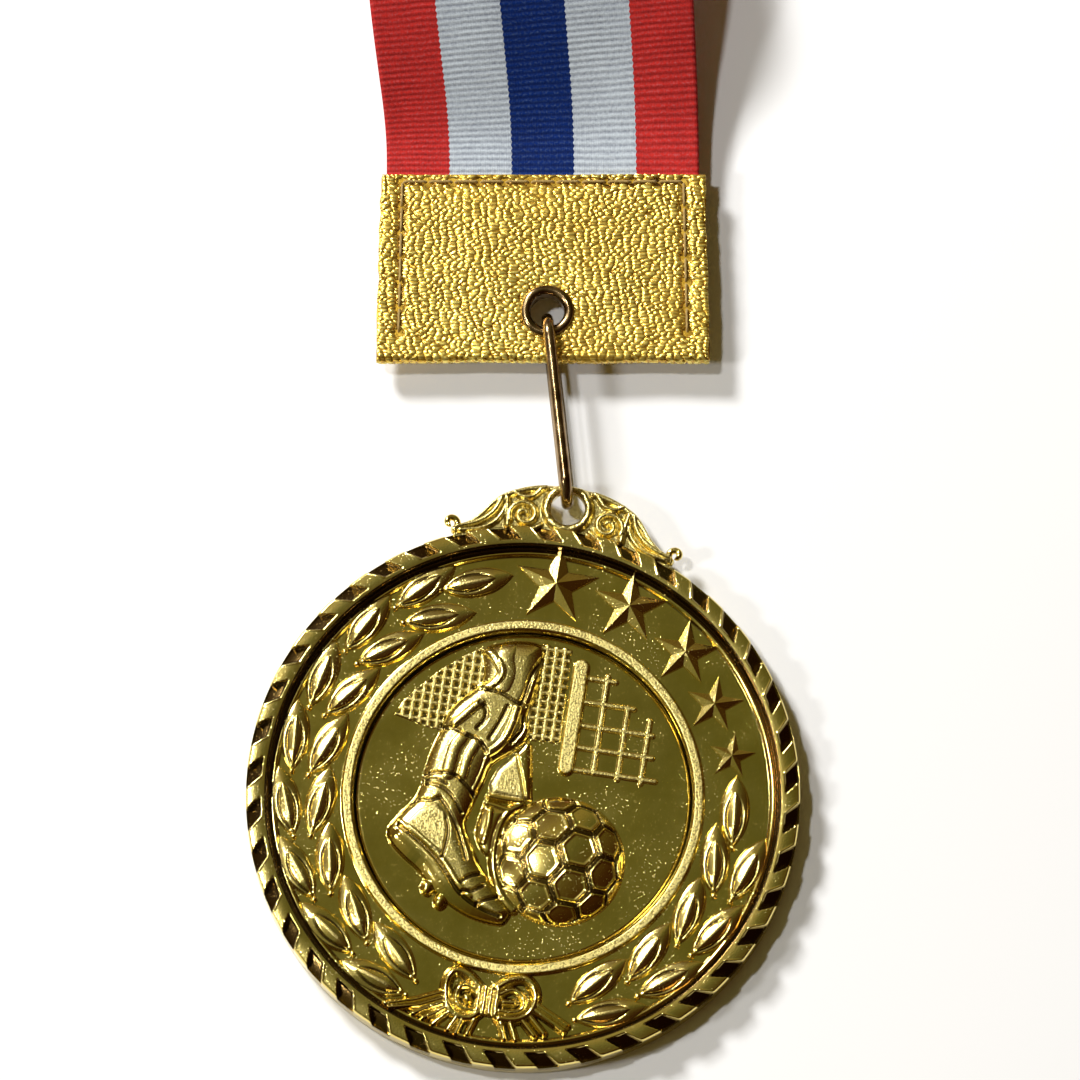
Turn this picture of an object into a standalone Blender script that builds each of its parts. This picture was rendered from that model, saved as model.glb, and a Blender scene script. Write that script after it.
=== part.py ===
"""A sports medal on its neck ribbon, laid flat on its back.

The cast disc lies in the XY plane with its flat back at Z = 0 and its crest towards +Y.
A long wire link joins the crest to an eyelet in a folded leatherette tab, and the two ends of
the neck ribbon are sewn into that tab. The spare ribbon is folded back and forth behind it.
"""

from math import cos, hypot, pi, radians, sin

import bmesh
import bpy
from mathutils import Matrix, Vector

MM = 0.001
GAP = 0.3 * MM                # between neighbouring solids
LAYER_GAP = 0.1 * MM          # between thin layers that are sewn or glued together

# Medal casting
DISC_R = 32.5 * MM
BORDER_INNER_R = 29.5 * MM
RING_OUTER_R = 21.3 * MM
RING_INNER_R = 19.9 * MM
BACK_CHAMFER = 0.5 * MM
FIELD_Z = 2.4 * MM
BORDER_Z = 4.2 * MM
RING_Z = 3.2 * MM
POCKET_Z = 0.6 * MM
TURN_STEPS = 72

# Glued centre insert
PAD_R = 19.0 * MM
PAD_THICK = 0.2 * MM
INSERT_R = 19.6 * MM
INSERT_Z = 2.0 * MM
BALL_CENTRE = (5.1 * MM, -6.9 * MM)
BALL_R = 7.7 * MM
BALL_TOP = 4.4 * MM
POST_X, POST_LOW, POST_HIGH, POST_WIDTH = 4.45 * MM, 3.4 * MM, 17.5 * MM, 1.9 * MM
MOTIF_Z, LEG_Z, REAR_LEG_Z = 3.2 * MM, 3.1 * MM, 2.8 * MM
FRONT_LEG = ((-7.2, 16.9), (-3.1, 18.3), (-0.3, 17.6), (-0.2, 12.2), (-0.8, 9.4), (-0.5, 7.2),
             (-3.7, 4.0), (-4.9, 1.1), (-6.0, -3.4), (-3.6, -8.7), (0.4, -13.2), (-0.1, -15.2),
             (-4.1, -15.0), (-9.3, -12.1), (-14.3, -7.9), (-14.9, -5.6), (-12.5, -2.0), (-11.7, 3.3),
             (-10.7, 7.2), (-7.2, 12.6))
REAR_LEG = ((-3.3, 3.2), (-0.6, 5.6), (0.6, 2.6), (0.7, -0.4), (-2.1, -3.4), (-2.6, -6.8), (-4.4, -6.2),
            (-4.5, -1.6))

# Raised work on the field between ring and border
LEAF_LENGTH, LEAF_WIDTH, LEAF_TOP = 8.7 * MM, 3.1 * MM, 3.6 * MM
LEAF_OUTER_R, LEAF_INNER_R = 27.8 * MM, 23.7 * MM
LEAF_PITCH = 16.63            # degrees between leaf pairs
LEFT_PAIRS, LEFT_FIRST = 8, -33.0
RIGHT_PAIRS, RIGHT_FIRST = 4, 99.5
OUTER_LEAN, INNER_LEAN = 11.0, -16.0
TIP_LEAVES = ((-20.4, 26.4 * MM), (85.2, 24.9 * MM))
STARS = ((0, 25.9, 4.7), (20, 26.1, 4.15), (39, 25.8, 3.75), (55, 25.1, 3.25), (70, 25.0, 2.6))
STAR_TOP = 3.9 * MM
STAR_NOTCH = 0.40             # notch radius as a share of the point's
ALMOND = ((0, -1), (0.72, -0.5), (1, 0.05), (0.66, 0.58), (0, 1), (-0.66, 0.58), (-1, 0.05), (-0.72, -0.5))
BOW_CENTRE_Y = -25.5
BOW_HALF = ((0.9, -23.6), (2.6, -21.6), (5.4, -22.0), (5.6, -24.2), (9.0, -25.9), (11.6, -26.6),
            (8.6, -28.3), (5.2, -26.9), (3.9, -28.8), (1.6, -29.0))
LEAF_TAPER, STAR_TAPER, BOW_TAPER = 0.55, 0.25, 0.92     # size at the top as a share of the size at the foot
RELIEF_FOOT = 1.6 * MM        # raised work starts this deep, inside the disc

# Crest and its hole
HOLE_Y, HOLE_R = 35.0 * MM, 2.0 * MM
CREST_LOW, CREST_Z = 0.8 * MM, 4.0 * MM
EAR_LOW = 2.3 * MM            # the crest is thinner round the hole, to clear the link
EAR_R = 4.2 * MM
CREST_HALF = ((0, 37.8), (3.0, 37.7), (5.3, 37.1), (7.6, 36.0), (8.9, 34.8), (10.1, 33.1), (12.0, 31.3))
CURL_AT, CURL_R = (13.55 * MM, 31.6 * MM), 1.2 * MM

# Wire link, a closed loop that stands on edge
LINK_LEAN = 14.8              # degrees from +Y towards -X
LINK_WIRE_R = 0.7 * MM
LINK_BEND_R = 2.6 * MM
LINK_PLAY = 0.65 * MM         # wire centre past the hole centre
LINK_SPAN = 22.4 * MM         # between the two wire centres at the ends
LINK_MID_Z = 3.4 * MM
LINK_BEND_STEPS = 10

# Leatherette tab
TAB_LEAN = 8.7
TAB_WIDTH, TAB_TOP_WIDTH, TAB_HEIGHT = 39.3 * MM, 38.3 * MM, 22.9 * MM
LEATHER_THICK = 0.4 * MM
RIBBON_THICK = 0.4 * MM
EYELET_UP = 6.2 * MM          # eyelet centre above the tab's fold
EYELET_SIDE = 0.5 * MM
EYELET_PLAY = 0.85 * MM       # wire centre short of the eyelet centre
EYELET_HOLE_R, EYELET_OUTER_R, EYELET_FLANGE_R = 2.0 * MM, 2.3 * MM, 3.0 * MM
EYELET_CLEAR_R = 2.42 * MM
LIP_PROFILE = ((2.0, -0.1), (2.2, 0.2), (2.6, 0.38), (3.0, 0.2), (2.95, 0.1))   # radius, rise over the face
FLARE_PROFILE = ((2.3, 0.34), (2.72, 0.36), (2.66, 0.5), (2.28, 0.5))   # radius, drop behind the back face
WASHER_TOP, WASHER_LOW = 0.08 * MM, 0.26 * MM                           # drop behind the back face
EYELET_STEPS = 24
THREAD_R = 0.16 * MM
THREAD_LIFT, THREAD_DIP = 0.06 * MM, 0.08 * MM      # off the face, and off the tab's middle in a needle hole
THREAD_SHOULDER, DIP_SHARE = 0.2 * MM, 0.2          # where the thread turns down beside a needle hole
NEEDLE_HOLE_R = 0.42 * MM
STITCH = 3.1 * MM
SEAM_SIDE = 2.6 * MM          # seam to the tab's side edges
SEAM_TOP = 0.9 * MM           # seam to the tab's top edge
SEAM_FOOT = 3.6 * MM          # the side seams end this far above the fold

# Neck ribbon
RIBBON_WIDTH = 37.0 * MM
RIBBON_END_FOOT = 1.6 * MM    # the sewn ends start this far above the tab's bottom fold
RIBBON_LEAN = 14.3
STRAP_APART = 0.7 * MM        # between the middles of the two straps
FOLD_AXIS_UP = 0.9 * MM       # fold line above the tab's top edge
FOLD_CLEARANCE = 0.62 * MM    # the sewn ends stop this far below the fold line, clear of the turning straps
RISE_LENGTH = 30.0 * MM
ARCH_Z = 14.0 * MM
ARCH_LENGTH = 26.0 * MM
PANEL_START, PANEL_END = 52.0 * MM, 126.0 * MM
PANEL_TOP_Z, PANEL_PITCH, PANELS = 7.55 * MM, 2.3 * MM, 4
LEAN_LENGTH = 11.0 * MM       # the ribbon turns to its own lean over this length
BEND_STEPS = 6


def direction(lean):
    """Unit vector that leans from +Y towards -X by so many degrees."""
    return Vector((-sin(radians(lean)), cos(radians(lean)), 0.0))


def across(lean):
    return Vector((cos(radians(lean)), sin(radians(lean)), 0.0))


HOLE = Vector((0.0, HOLE_Y, 0.0))
LINK_DIR, LINK_ACROSS = direction(LINK_LEAN), across(LINK_LEAN)
TAB_UP, TAB_ACROSS = direction(TAB_LEAN), across(TAB_LEAN)
FLAP_AXIS = HOLE + LINK_DIR * (LINK_PLAY + LINK_BEND_R) + Vector((0, 0, LINK_MID_Z))
SWING_AXIS = HOLE + LINK_DIR * (LINK_PLAY + LINK_SPAN) + Vector((0, 0, LINK_MID_Z))
EYELET = SWING_AXIS + TAB_UP * EYELET_PLAY
TAB_FOLD = EYELET - TAB_UP * EYELET_UP - TAB_ACROSS * EYELET_SIDE    # middle of the bottom fold
TAB_TOP = TAB_FOLD + TAB_UP * TAB_HEIGHT
FOLD_AXIS = TAB_TOP + TAB_UP * FOLD_AXIS_UP

PARTS = bpy.data.collections.new("medal")
CUTTERS = bpy.data.collections.new("cutters")


def material(name, colour, roughness, metallic):
    made = bpy.data.materials.new(name)
    made.use_nodes = True
    shader = made.node_tree.nodes["Principled BSDF"]
    shader.inputs["Base Color"].default_value = (*colour, 1.0)
    shader.inputs["Roughness"].default_value = roughness
    shader.inputs["Metallic"].default_value = metallic
    return made


def joint_empty(name, at):
    """An empty on a joint's axis, which the moving pieces hang on."""
    made = bpy.data.objects.new(name, None)
    made.location = at
    PARTS.objects.link(made)
    return made


def hang(piece, empty):
    """Parents a piece to an empty and leaves it where it is."""
    piece.parent = empty
    piece.matrix_parent_inverse = Matrix.Translation(-empty.location)


def mesh_object(name, bm, collection=PARTS):
    bmesh.ops.recalc_face_normals(bm, faces=bm.faces)
    mesh = bpy.data.meshes.new(name)
    bm.to_mesh(mesh)
    bm.free()
    made = bpy.data.objects.new(name, mesh)
    collection.objects.link(made)
    if collection is CUTTERS:
        made.hide_render = True
        made.display_type = "WIRE"
    return made


def boolean(piece, other, operation):
    step = piece.modifiers.new(other.name, "BOOLEAN")
    step.operation = operation
    step.object = other


def turned(name, profile, steps, collection=PARTS):
    """A solid turned about Z from a closed profile of (radius, height) points."""
    bm = bmesh.new()
    points = [bm.verts.new((r, 0, z)) for r, z in profile]
    for a, b in zip(points, points[1:] + points[:1]):
        bm.edges.new((a, b))
    on_axis = [e for e in bm.edges if all(v.co.x < 1e-9 for v in e.verts)]
    bmesh.ops.delete(bm, geom=on_axis, context="EDGES_FACES")
    mesh = bpy.data.meshes.new(name)
    bm.to_mesh(mesh)
    bm.free()
    made = bpy.data.objects.new(name, mesh)
    collection.objects.link(made)
    screw = made.modifiers.new("turn", "SCREW")
    screw.steps = screw.render_steps = steps
    screw.use_merge_vertices = True
    screw.merge_threshold = 0.00001
    return made


def prism(bm, outline, low, high, offset=(0.0, 0.0), turn=0.0):
    """Adds an upright prism on a closed outline."""
    c, s = cos(turn), sin(turn)
    placed = [(offset[0] + c * x - s * y, offset[1] + s * x + c * y, low) for x, y in outline]
    face = bm.faces.new([bm.verts.new(point) for point in placed])
    grown = bmesh.ops.extrude_face_region(bm, geom=[face])
    tops = [v for v in grown["geom"] if isinstance(v, bmesh.types.BMVert)]
    for v in tops:
        v.co.z = high
    return tops


def circle(r, sides, centre=(0.0, 0.0), start=0.0):
    angles = [start + 2 * pi * k / sides for k in range(sides)]
    return [(centre[0] + r * cos(a), centre[1] + r * sin(a)) for a in angles]


def capsule(centre_x, low, high, width, steps=6):
    """Outline of an upright bar with round ends."""
    r = width / 2
    angles = [pi * k / steps for k in range(steps + 1)]
    upper = [(centre_x + r * cos(a), high - r + r * sin(a)) for a in angles]
    lower = [(centre_x - r * cos(a), low + r - r * sin(a)) for a in angles]
    return upper + lower


def peak(bm, outline, offset, turn, low, high, inset):
    """A raised boss that narrows upwards: the outline at its foot, shrunk by inset at its top."""
    tops = prism(bm, outline, low, high, offset, turn)
    centre = Vector((offset[0], offset[1], high))
    for v in tops:
        v.co = centre + (v.co - centre) * inset


def medal_casting(gold):
    profile = [
        (0, POCKET_Z), (0, 0), (DISC_R - BACK_CHAMFER, 0), (DISC_R, BACK_CHAMFER),
        (DISC_R, BORDER_Z - 0.5 * MM), (DISC_R - 0.6 * MM, BORDER_Z), (BORDER_INNER_R + 0.8 * MM, BORDER_Z),
        (BORDER_INNER_R, FIELD_Z + 0.4 * MM), (BORDER_INNER_R, FIELD_Z), (RING_OUTER_R, FIELD_Z),
        (RING_OUTER_R - 0.2 * MM, RING_Z), (RING_INNER_R, RING_Z), (RING_INNER_R, POCKET_Z),
    ]
    body = turned("medal_casting", list(reversed(profile)), TURN_STEPS)
    body.data.materials.append(gold)
    boolean(body, crest(), "UNION")
    boolean(body, raised_work(), "UNION")
    bm = bmesh.new()
    prism(bm, circle(HOLE_R, 20, (0, HOLE_Y)), -MM, 6 * MM)
    boolean(body, mesh_object("crest_hole_cutter", bm, CUTTERS), "DIFFERENCE")
    bm = bmesh.new()
    prism(bm, circle(EAR_R, 20, (0, HOLE_Y + 1.0 * MM)), -MM, EAR_LOW)
    boolean(body, mesh_object("crest_relief_cutter", bm, CUTTERS), "DIFFERENCE")
    return body


def crest():
    """Scrolled plate above the disc, with a round curl at each end."""
    bm = bmesh.new()
    half = [(x * MM, y * MM) for x, y in CREST_HALF]
    foot = [(12.0 * MM, 29.9 * MM), (0, 30.0 * MM)]
    outline = half + foot + [(-x, y) for x, y in reversed(half[1:] + foot[:1])]
    prism(bm, outline, CREST_LOW, CREST_Z)
    plate = mesh_object("crest_plate", bm, CUTTERS)
    for side in (-1, 1):
        bm = bmesh.new()
        centre = (side * CURL_AT[0], CURL_AT[1])
        prism(bm, circle(CURL_R, 10, centre), CREST_LOW + 0.1 * MM, CREST_Z + 0.1 * MM)
        link_piece = [(side * 12.6 * MM, 32.0 * MM), (side * 11.0 * MM, 31.9 * MM),
                      (side * 11.0 * MM, 30.3 * MM), (side * 13.0 * MM, 30.9 * MM)]
        curl = mesh_object(f"crest_curl_{'left' if side < 0 else 'right'}", bm, CUTTERS)
        bm = bmesh.new()
        prism(bm, link_piece, CREST_LOW + 0.2 * MM, CREST_Z - 0.1 * MM)
        neck = mesh_object(f"{curl.name}_neck", bm, CUTTERS)
        boolean(plate, neck, "UNION")
        boolean(plate, curl, "UNION")
    return plate


def raised_work():
    """Wreath leaves, stars and bow, as one set of separate bosses."""
    bm = bmesh.new()
    almond = [(LEAF_WIDTH / 2 * s, LEAF_LENGTH / 2 * t) for s, t in ALMOND]

    def leaf(angle, radius, lean):
        a = radians(angle)
        offset = (radius * sin(a), radius * cos(a))
        side = 1 if angle < 0 else -1         # leaves point round the disc towards the crest
        peak(bm, almond, offset, -a - side * radians(90 - lean), RELIEF_FOOT, LEAF_TOP, LEAF_TAPER)

    sprays = ((LEFT_FIRST, LEFT_PAIRS, -LEAF_PITCH), (RIGHT_FIRST, RIGHT_PAIRS, LEAF_PITCH))
    for first, pairs, step in sprays:
        for k in range(pairs):
            leaf(first + step * k, LEAF_OUTER_R, OUTER_LEAN)
            leaf(first + step * k, LEAF_INNER_R, INNER_LEAN)
    for angle, radius in TIP_LEAVES:
        leaf(angle, radius, 0.0)
    for angle, radius, size in STARS:
        a = radians(angle)
        reach = [size * MM * (1 if k % 2 == 0 else STAR_NOTCH) for k in range(10)]
        points = [(reach[k] * sin(pi * k / 5), reach[k] * cos(pi * k / 5)) for k in range(10)]
        place = (radius * MM * sin(a), radius * MM * cos(a))
        peak(bm, points, place, 0.0, RELIEF_FOOT, STAR_TOP, STAR_TAPER)
    half_bow = [(x * MM, (y - BOW_CENTRE_Y) * MM) for x, y in BOW_HALF]
    outline = half_bow + [(-x, y) for x, y in reversed(half_bow)]
    peak(bm, outline, (0, BOW_CENTRE_Y * MM), 0.0, RELIEF_FOOT, LEAF_TOP, BOW_TAPER)
    return mesh_object("raised_work", bm, CUTTERS)


def insert_adhesive(grey):
    low = POCKET_Z + LAYER_GAP
    section = [(0, low + PAD_THICK), (PAD_R, low + PAD_THICK), (PAD_R, low), (0, low)]
    pad = turned("insert_adhesive", section, 48)
    pad.data.materials.append(grey)
    return pad


def centre_insert(gold):
    low = POCKET_Z + PAD_THICK + 2 * LAYER_GAP
    chamfer = 0.2 * MM
    section = [(0, INSERT_Z), (INSERT_R - chamfer, INSERT_Z), (INSERT_R, INSERT_Z - chamfer),
               (INSERT_R, low), (0, low)]
    disc = turned("centre_insert", section, 64)
    disc.data.materials.append(gold)
    bm = bmesh.new()
    bmesh.ops.create_uvsphere(bm, u_segments=24, v_segments=12, radius=BALL_R,
                              matrix=Matrix.Translation((*BALL_CENTRE, INSERT_Z))
                              @ Matrix.Diagonal((1, 1, (BALL_TOP - INSERT_Z) / BALL_R, 1)))
    below = [v for v in bm.verts if v.co.z < INSERT_Z - 1e-6]
    for v in below:
        v.co.z = INSERT_Z - (INSERT_Z - v.co.z) * 0.3
    boolean(disc, mesh_object("ball_boss", bm, CUTTERS), "UNION")
    bm = bmesh.new()
    prism(bm, capsule(POST_X, POST_LOW, POST_HIGH, POST_WIDTH), INSERT_Z - 0.3 * MM, MOTIF_Z)
    prism(bm, [(x * MM, y * MM) for x, y in FRONT_LEG], INSERT_Z - 0.35 * MM, LEG_Z)
    boolean(disc, mesh_object("post_and_leg_boss", bm, CUTTERS), "UNION")
    bm = bmesh.new()
    prism(bm, [(x * MM, y * MM) for x, y in REAR_LEG], INSERT_Z - 0.25 * MM, REAR_LEG_Z)
    boolean(disc, mesh_object("rear_leg_boss", bm, CUTTERS), "UNION")
    return disc


def curve_mesh(name, points, radius, cyclic, sides_resolution):
    """A round wire along straight pieces, as a mesh with closed ends."""
    curve = bpy.data.curves.new(name, "CURVE")
    curve.dimensions = "3D"
    curve.bevel_depth = radius
    curve.bevel_resolution = sides_resolution
    curve.use_fill_caps = True
    spline = curve.splines.new("POLY")
    spline.points.add(len(points) - 1)
    for point, at in zip(spline.points, points):
        point.co = (*at, 1.0)
    spline.use_cyclic_u = cyclic
    holder = bpy.data.objects.new(f"{name}_curve", curve)
    CUTTERS.objects.link(holder)
    mesh = bpy.data.meshes.new_from_object(holder.evaluated_get(bpy.context.evaluated_depsgraph_get()))
    bm = bmesh.new()
    bm.from_mesh(mesh)
    bmesh.ops.remove_doubles(bm, verts=bm.verts, dist=1e-7)
    made = mesh_object(name, bm)
    made.matrix_world = holder.matrix_world
    bpy.data.objects.remove(holder)
    return made


def link_ring(wire):
    """Closed loop with two round ends, in the upright plane through the link's direction."""
    near = FLAP_AXIS
    far = SWING_AXIS - LINK_DIR * LINK_BEND_R
    up = Vector((0, 0, 1))
    points = []
    for centre, away in ((near, -1), (far, 1)):
        for k in range(LINK_BEND_STEPS + 1):
            a = -pi / 2 + pi * k / LINK_BEND_STEPS
            points.append(centre + away * (LINK_DIR * cos(a) + up * sin(a)) * LINK_BEND_R)
    ring = curve_mesh("link_ring", points, LINK_WIRE_R, True, 2)
    ring.data.materials.append(wire)
    return ring


def on_tab(x, y, z):
    """A point in the tab's own frame: x across, y up from the fold, z out of its front."""
    return TAB_FOLD + TAB_ACROSS * x + TAB_UP * y + Vector((0, 0, z))


def seam_points():
    """Needle holes along the left side, the top and the right side of the tab."""
    side = TAB_WIDTH / 2 - SEAM_SIDE
    top = TAB_HEIGHT - SEAM_TOP
    corners = [(-side, SEAM_FOOT), (-side + 0.4 * MM, top), (side - 0.4 * MM, top), (side, SEAM_FOOT)]
    holes = [corners[0]]
    for (x0, y0), (x1, y1) in zip(corners, corners[1:]):
        steps = round(hypot(x1 - x0, y1 - y0) / STITCH)
        holes += [(x0 + (x1 - x0) * k / steps, y0 + (y1 - y0) * k / steps) for k in range(1, steps + 1)]
    return holes


def tab_holes(name):
    """Cutter for the eyelet and for every needle hole."""
    bm = bmesh.new()
    eyelet = on_tab(EYELET_SIDE, EYELET_UP, 0)
    prism(bm, circle(EYELET_CLEAR_R, 24, (eyelet.x, eyelet.y)), -3 * MM, 12 * MM)
    for x, y in seam_points():
        hole = on_tab(x, y, 0)
        prism(bm, circle(NEEDLE_HOLE_R, 6, (hole.x, hole.y)), -3 * MM, 12 * MM)
    return mesh_object(name, bm, CUTTERS)


def tab_cover(leather, holes):
    """One piece of leatherette, folded up round the ribbon ends from the bottom edge."""
    inner = LAYER_GAP * 1.5 + RIBBON_THICK
    middle = inner + LEATHER_THICK / 2
    steps = 8
    angles = [pi / 2 - pi * k / steps for k in range(steps + 1)]
    arc = [(middle - middle * cos(a), middle * sin(a)) for a in angles]
    section = [(TAB_HEIGHT, middle)] + [(y, z) for y, z in arc] + [(TAB_HEIGHT, -middle)]
    bm = bmesh.new()
    rows = []
    for side in (-1, 1):
        row = []
        for y, z in section:
            half = (TAB_WIDTH + (TAB_TOP_WIDTH - TAB_WIDTH) * y / TAB_HEIGHT) / 2
            row.append(bm.verts.new(on_tab(side * half, y, z)))
        rows.append(row)
    for k in range(len(section) - 1):
        bm.faces.new((rows[0][k], rows[1][k], rows[1][k + 1], rows[0][k + 1]))
    cover = mesh_object("tab_cover", bm)
    shell = cover.modifiers.new("thickness", "SOLIDIFY")
    shell.thickness = LEATHER_THICK
    shell.offset = 0
    shell.use_even_offset = True
    boolean(cover, holes, "DIFFERENCE")
    cover.data.materials.append(leather)
    return cover


def ribbon_end(name, side, fabric, holes):
    """One end of the ribbon, flat inside the tab, up to the fold line at the tab's top."""
    middle = side * (RIBBON_THICK + LAYER_GAP) / 2
    bm = bmesh.new()
    half = RIBBON_WIDTH / 2
    foot, top = RIBBON_END_FOOT, TAB_HEIGHT + FOLD_AXIS_UP - FOLD_CLEARANCE
    corners = [on_tab(x, y, 0) for x, y in ((-half, foot), (half, foot), (half, top), (-half, top))]
    z = LINK_MID_Z + middle
    prism(bm, [(p.x, p.y) for p in corners], z - RIBBON_THICK / 2, z + RIBBON_THICK / 2)
    end = mesh_object(name, bm)
    boolean(end, holes, "DIFFERENCE")
    end.data.materials.append(fabric)
    return end


def at_eyelet(piece):
    piece.location = EYELET


def eyelet_barrel(brass):
    """Tube through the tab with a rolled lip in front and a clinched flare behind."""
    face = LAYER_GAP * 1.5 + RIBBON_THICK + LEATHER_THICK
    profile = [(EYELET_HOLE_R, -face)]
    profile += [(r * MM, face + rise * MM) for r, rise in LIP_PROFILE]
    profile += [(EYELET_OUTER_R, face + LIP_PROFILE[-1][1] * MM)]
    profile += [(r * MM, -face - drop * MM) for r, drop in FLARE_PROFILE]
    barrel = turned("eyelet_barrel", profile, EYELET_STEPS)
    barrel.data.materials.append(brass)
    at_eyelet(barrel)
    return barrel


def eyelet_washer(brass):
    """Washer behind the tab, held by the barrel's flare."""
    face = LAYER_GAP * 1.5 + RIBBON_THICK + LEATHER_THICK
    top, low = -face - WASHER_TOP, -face - WASHER_LOW
    section = [(EYELET_CLEAR_R, low), (EYELET_CLEAR_R, top), (EYELET_FLANGE_R, top), (EYELET_FLANGE_R, low)]
    washer = turned("eyelet_washer", section, EYELET_STEPS)
    washer.data.materials.append(brass)
    at_eyelet(washer)
    return washer


def seam_thread(name, side, thread):
    """Thread of the seam on one face, dipping half way down each needle hole."""
    face = LAYER_GAP * 1.5 + RIBBON_THICK + LEATHER_THICK
    lie = side * (face + THREAD_R + THREAD_LIFT)
    dip = side * (THREAD_R + THREAD_DIP)
    holes = seam_points()
    points = []
    for k, (x, y) in enumerate(holes):
        before = holes[k - 1] if k else (x, y - STITCH)
        after = holes[k + 1] if k + 1 < len(holes) else (x, y - STITCH)
        for other, keep in ((before, k > 0), (after, k + 1 < len(holes))):
            step = Vector((other[0] - x, other[1] - y)).normalized() * THREAD_SHOULDER
            if keep:
                high = (x + step.x, y + step.y, lie)
                low = (x + step.x * DIP_SHARE, y + step.y * DIP_SHARE, dip)
                points.append((high, low, other is before))
    path = []
    for high, low, coming in points:
        path += [on_tab(*high), on_tab(*low)] if coming else [on_tab(*low), on_tab(*high)]
    run = curve_mesh(name, path, THREAD_R, False, 0)
    run.data.materials.append(thread)
    return run


def strap_path():
    """Middle line between the two straps, as (distance from the fold axis, height) points."""
    def ease(t):
        return t * t * (3 - 2 * t)

    path = [(GAP, LINK_MID_Z)]
    for k in range(1, 9):
        path.append((GAP + (RISE_LENGTH - GAP) * k / 8, LINK_MID_Z + (ARCH_Z - LINK_MID_Z) * ease(k / 8)))
    for k in range(1, 8):
        path.append((RISE_LENGTH + ARCH_LENGTH * k / 7, ARCH_Z + (PANEL_TOP_Z - ARCH_Z) * ease(k / 7)))
    height, forwards = PANEL_TOP_Z, True
    for panel in range(PANELS):
        end = PANEL_END if forwards else PANEL_START
        path.append((end, height))
        if panel < PANELS - 1:
            r, way = PANEL_PITCH / 2, 1 if forwards else -1
            for k in range(1, BEND_STEPS):
                a = pi * k / BEND_STEPS
                path.append((end + way * r * sin(a), height - r + r * cos(a)))
            height -= PANEL_PITCH
            path.append((end, height))
            forwards = not forwards
    kept = path[:1]
    for p in path[1:]:
        if hypot(p[0] - kept[-1][0], p[1] - kept[-1][1]) > 1e-6:
            kept.append(p)
    return kept


def neck_ribbon(fabric):
    """The ribbon outside the tab: two straps that run side by side and join in a bight at the end."""
    path = [Vector(p) for p in strap_path()]
    count = len(path)
    normals = []
    for k in range(count):
        a, b = path[max(k - 1, 0)], path[min(k + 1, count - 1)]
        along = (b - a).normalized()
        normals.append(Vector((-along.y, along.x)))
    normals[0] = Vector((0.0, 1.0))

    def middle(k):
        apart = RIBBON_THICK + LAYER_GAP + (STRAP_APART - RIBBON_THICK - LAYER_GAP) * min(1.0, k / 4)
        return apart / 2

    def strap(offset_side, inner):
        return [path[k] + normals[k] * (offset_side * middle(k) + inner) for k in range(count)]

    half = RIBBON_THICK / 2
    last, onwards = path[-1], Vector((normals[-1].y, -normals[-1].x))
    apart = STRAP_APART / 2

    def bight(radius):
        turn = [pi * k / BEND_STEPS for k in range(1, BEND_STEPS)]
        return [last + onwards * radius * sin(a) + normals[-1] * radius * cos(a) for a in turn]

    outside = strap(1, half) + bight(apart + half) + list(reversed(strap(-1, -half)))
    inside = strap(1, -half) + bight(apart - half) + list(reversed(strap(-1, half)))
    bm = bmesh.new()

    def place(point, side):
        share = min(max(point.x / LEAN_LENGTH, 0.0), 1.0)
        lean = TAB_LEAN + (RIBBON_LEAN - TAB_LEAN) * share
        turned_part = LEAN_LENGTH / 2 * share * share if share < 1 else point.x - LEAN_LENGTH / 2
        base = FOLD_AXIS + TAB_UP * (point.x - turned_part) + direction(RIBBON_LEAN) * turned_part
        at = base + across(lean) * side * RIBBON_WIDTH / 2
        return Vector((at.x, at.y, point.y))

    rows = [[[bm.verts.new(place(p, side)) for p in line] for side in (-1, 1)] for line in (outside, inside)]
    (ol, orr), (il, irr) = rows
    n = len(outside)
    for k in range(n - 1):
        bm.faces.new((ol[k], orr[k], orr[k + 1], ol[k + 1]))
        bm.faces.new((il[k], il[k + 1], irr[k + 1], irr[k]))
        bm.faces.new((ol[k], ol[k + 1], il[k + 1], il[k]))
        bm.faces.new((orr[k], irr[k], irr[k + 1], orr[k + 1]))
    for k in (0, n - 1):
        bm.faces.new((ol[k], il[k], irr[k], orr[k]))
    ribbon = mesh_object("neck_ribbon", bm)
    ribbon.data.materials.append(fabric)
    return ribbon


def build():
    for old in list(bpy.data.objects):
        bpy.data.objects.remove(old)
    bpy.context.scene.collection.children.link(PARTS)
    bpy.context.scene.collection.children.link(CUTTERS)
    gold = material("gold_plate", (0.75, 0.56, 0.20), 0.25, 1.0)
    wire = material("antique_brass", (0.36, 0.28, 0.18), 0.3, 1.0)
    leather = material("gold_leatherette", (0.72, 0.52, 0.14), 0.45, 0.4)
    fabric = material("striped_ribbon", (0.48, 0.10, 0.08), 0.8, 0.0)
    thread = material("gold_thread", (0.62, 0.46, 0.16), 0.6, 0.0)
    grey = material("adhesive_pad", (0.75, 0.75, 0.72), 0.7, 0.0)

    medal_casting(gold)
    insert_adhesive(grey)
    centre_insert(gold)

    flap = joint_empty("link_flap_axis", FLAP_AXIS)
    swing = joint_empty("tab_swing_axis", SWING_AXIS)
    fold = joint_empty("ribbon_fold_axis", FOLD_AXIS)
    hang(link_ring(wire), flap)
    holes = tab_holes("tab_hole_cutter")
    for piece in (
        tab_cover(leather, holes),
        ribbon_end("ribbon_end_front", 1, fabric, holes),
        ribbon_end("ribbon_end_rear", -1, fabric, holes),
        eyelet_barrel(wire),
        eyelet_washer(wire),
        seam_thread("needle_thread", 1, thread),
        seam_thread("bobbin_thread", -1, thread),
    ):
        hang(piece, swing)
    hang(neck_ribbon(fabric), fold)


build()
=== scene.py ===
"""Looks of the sports medal: cast relief, plated metal, grained leatherette and woven ribbon."""

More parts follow.
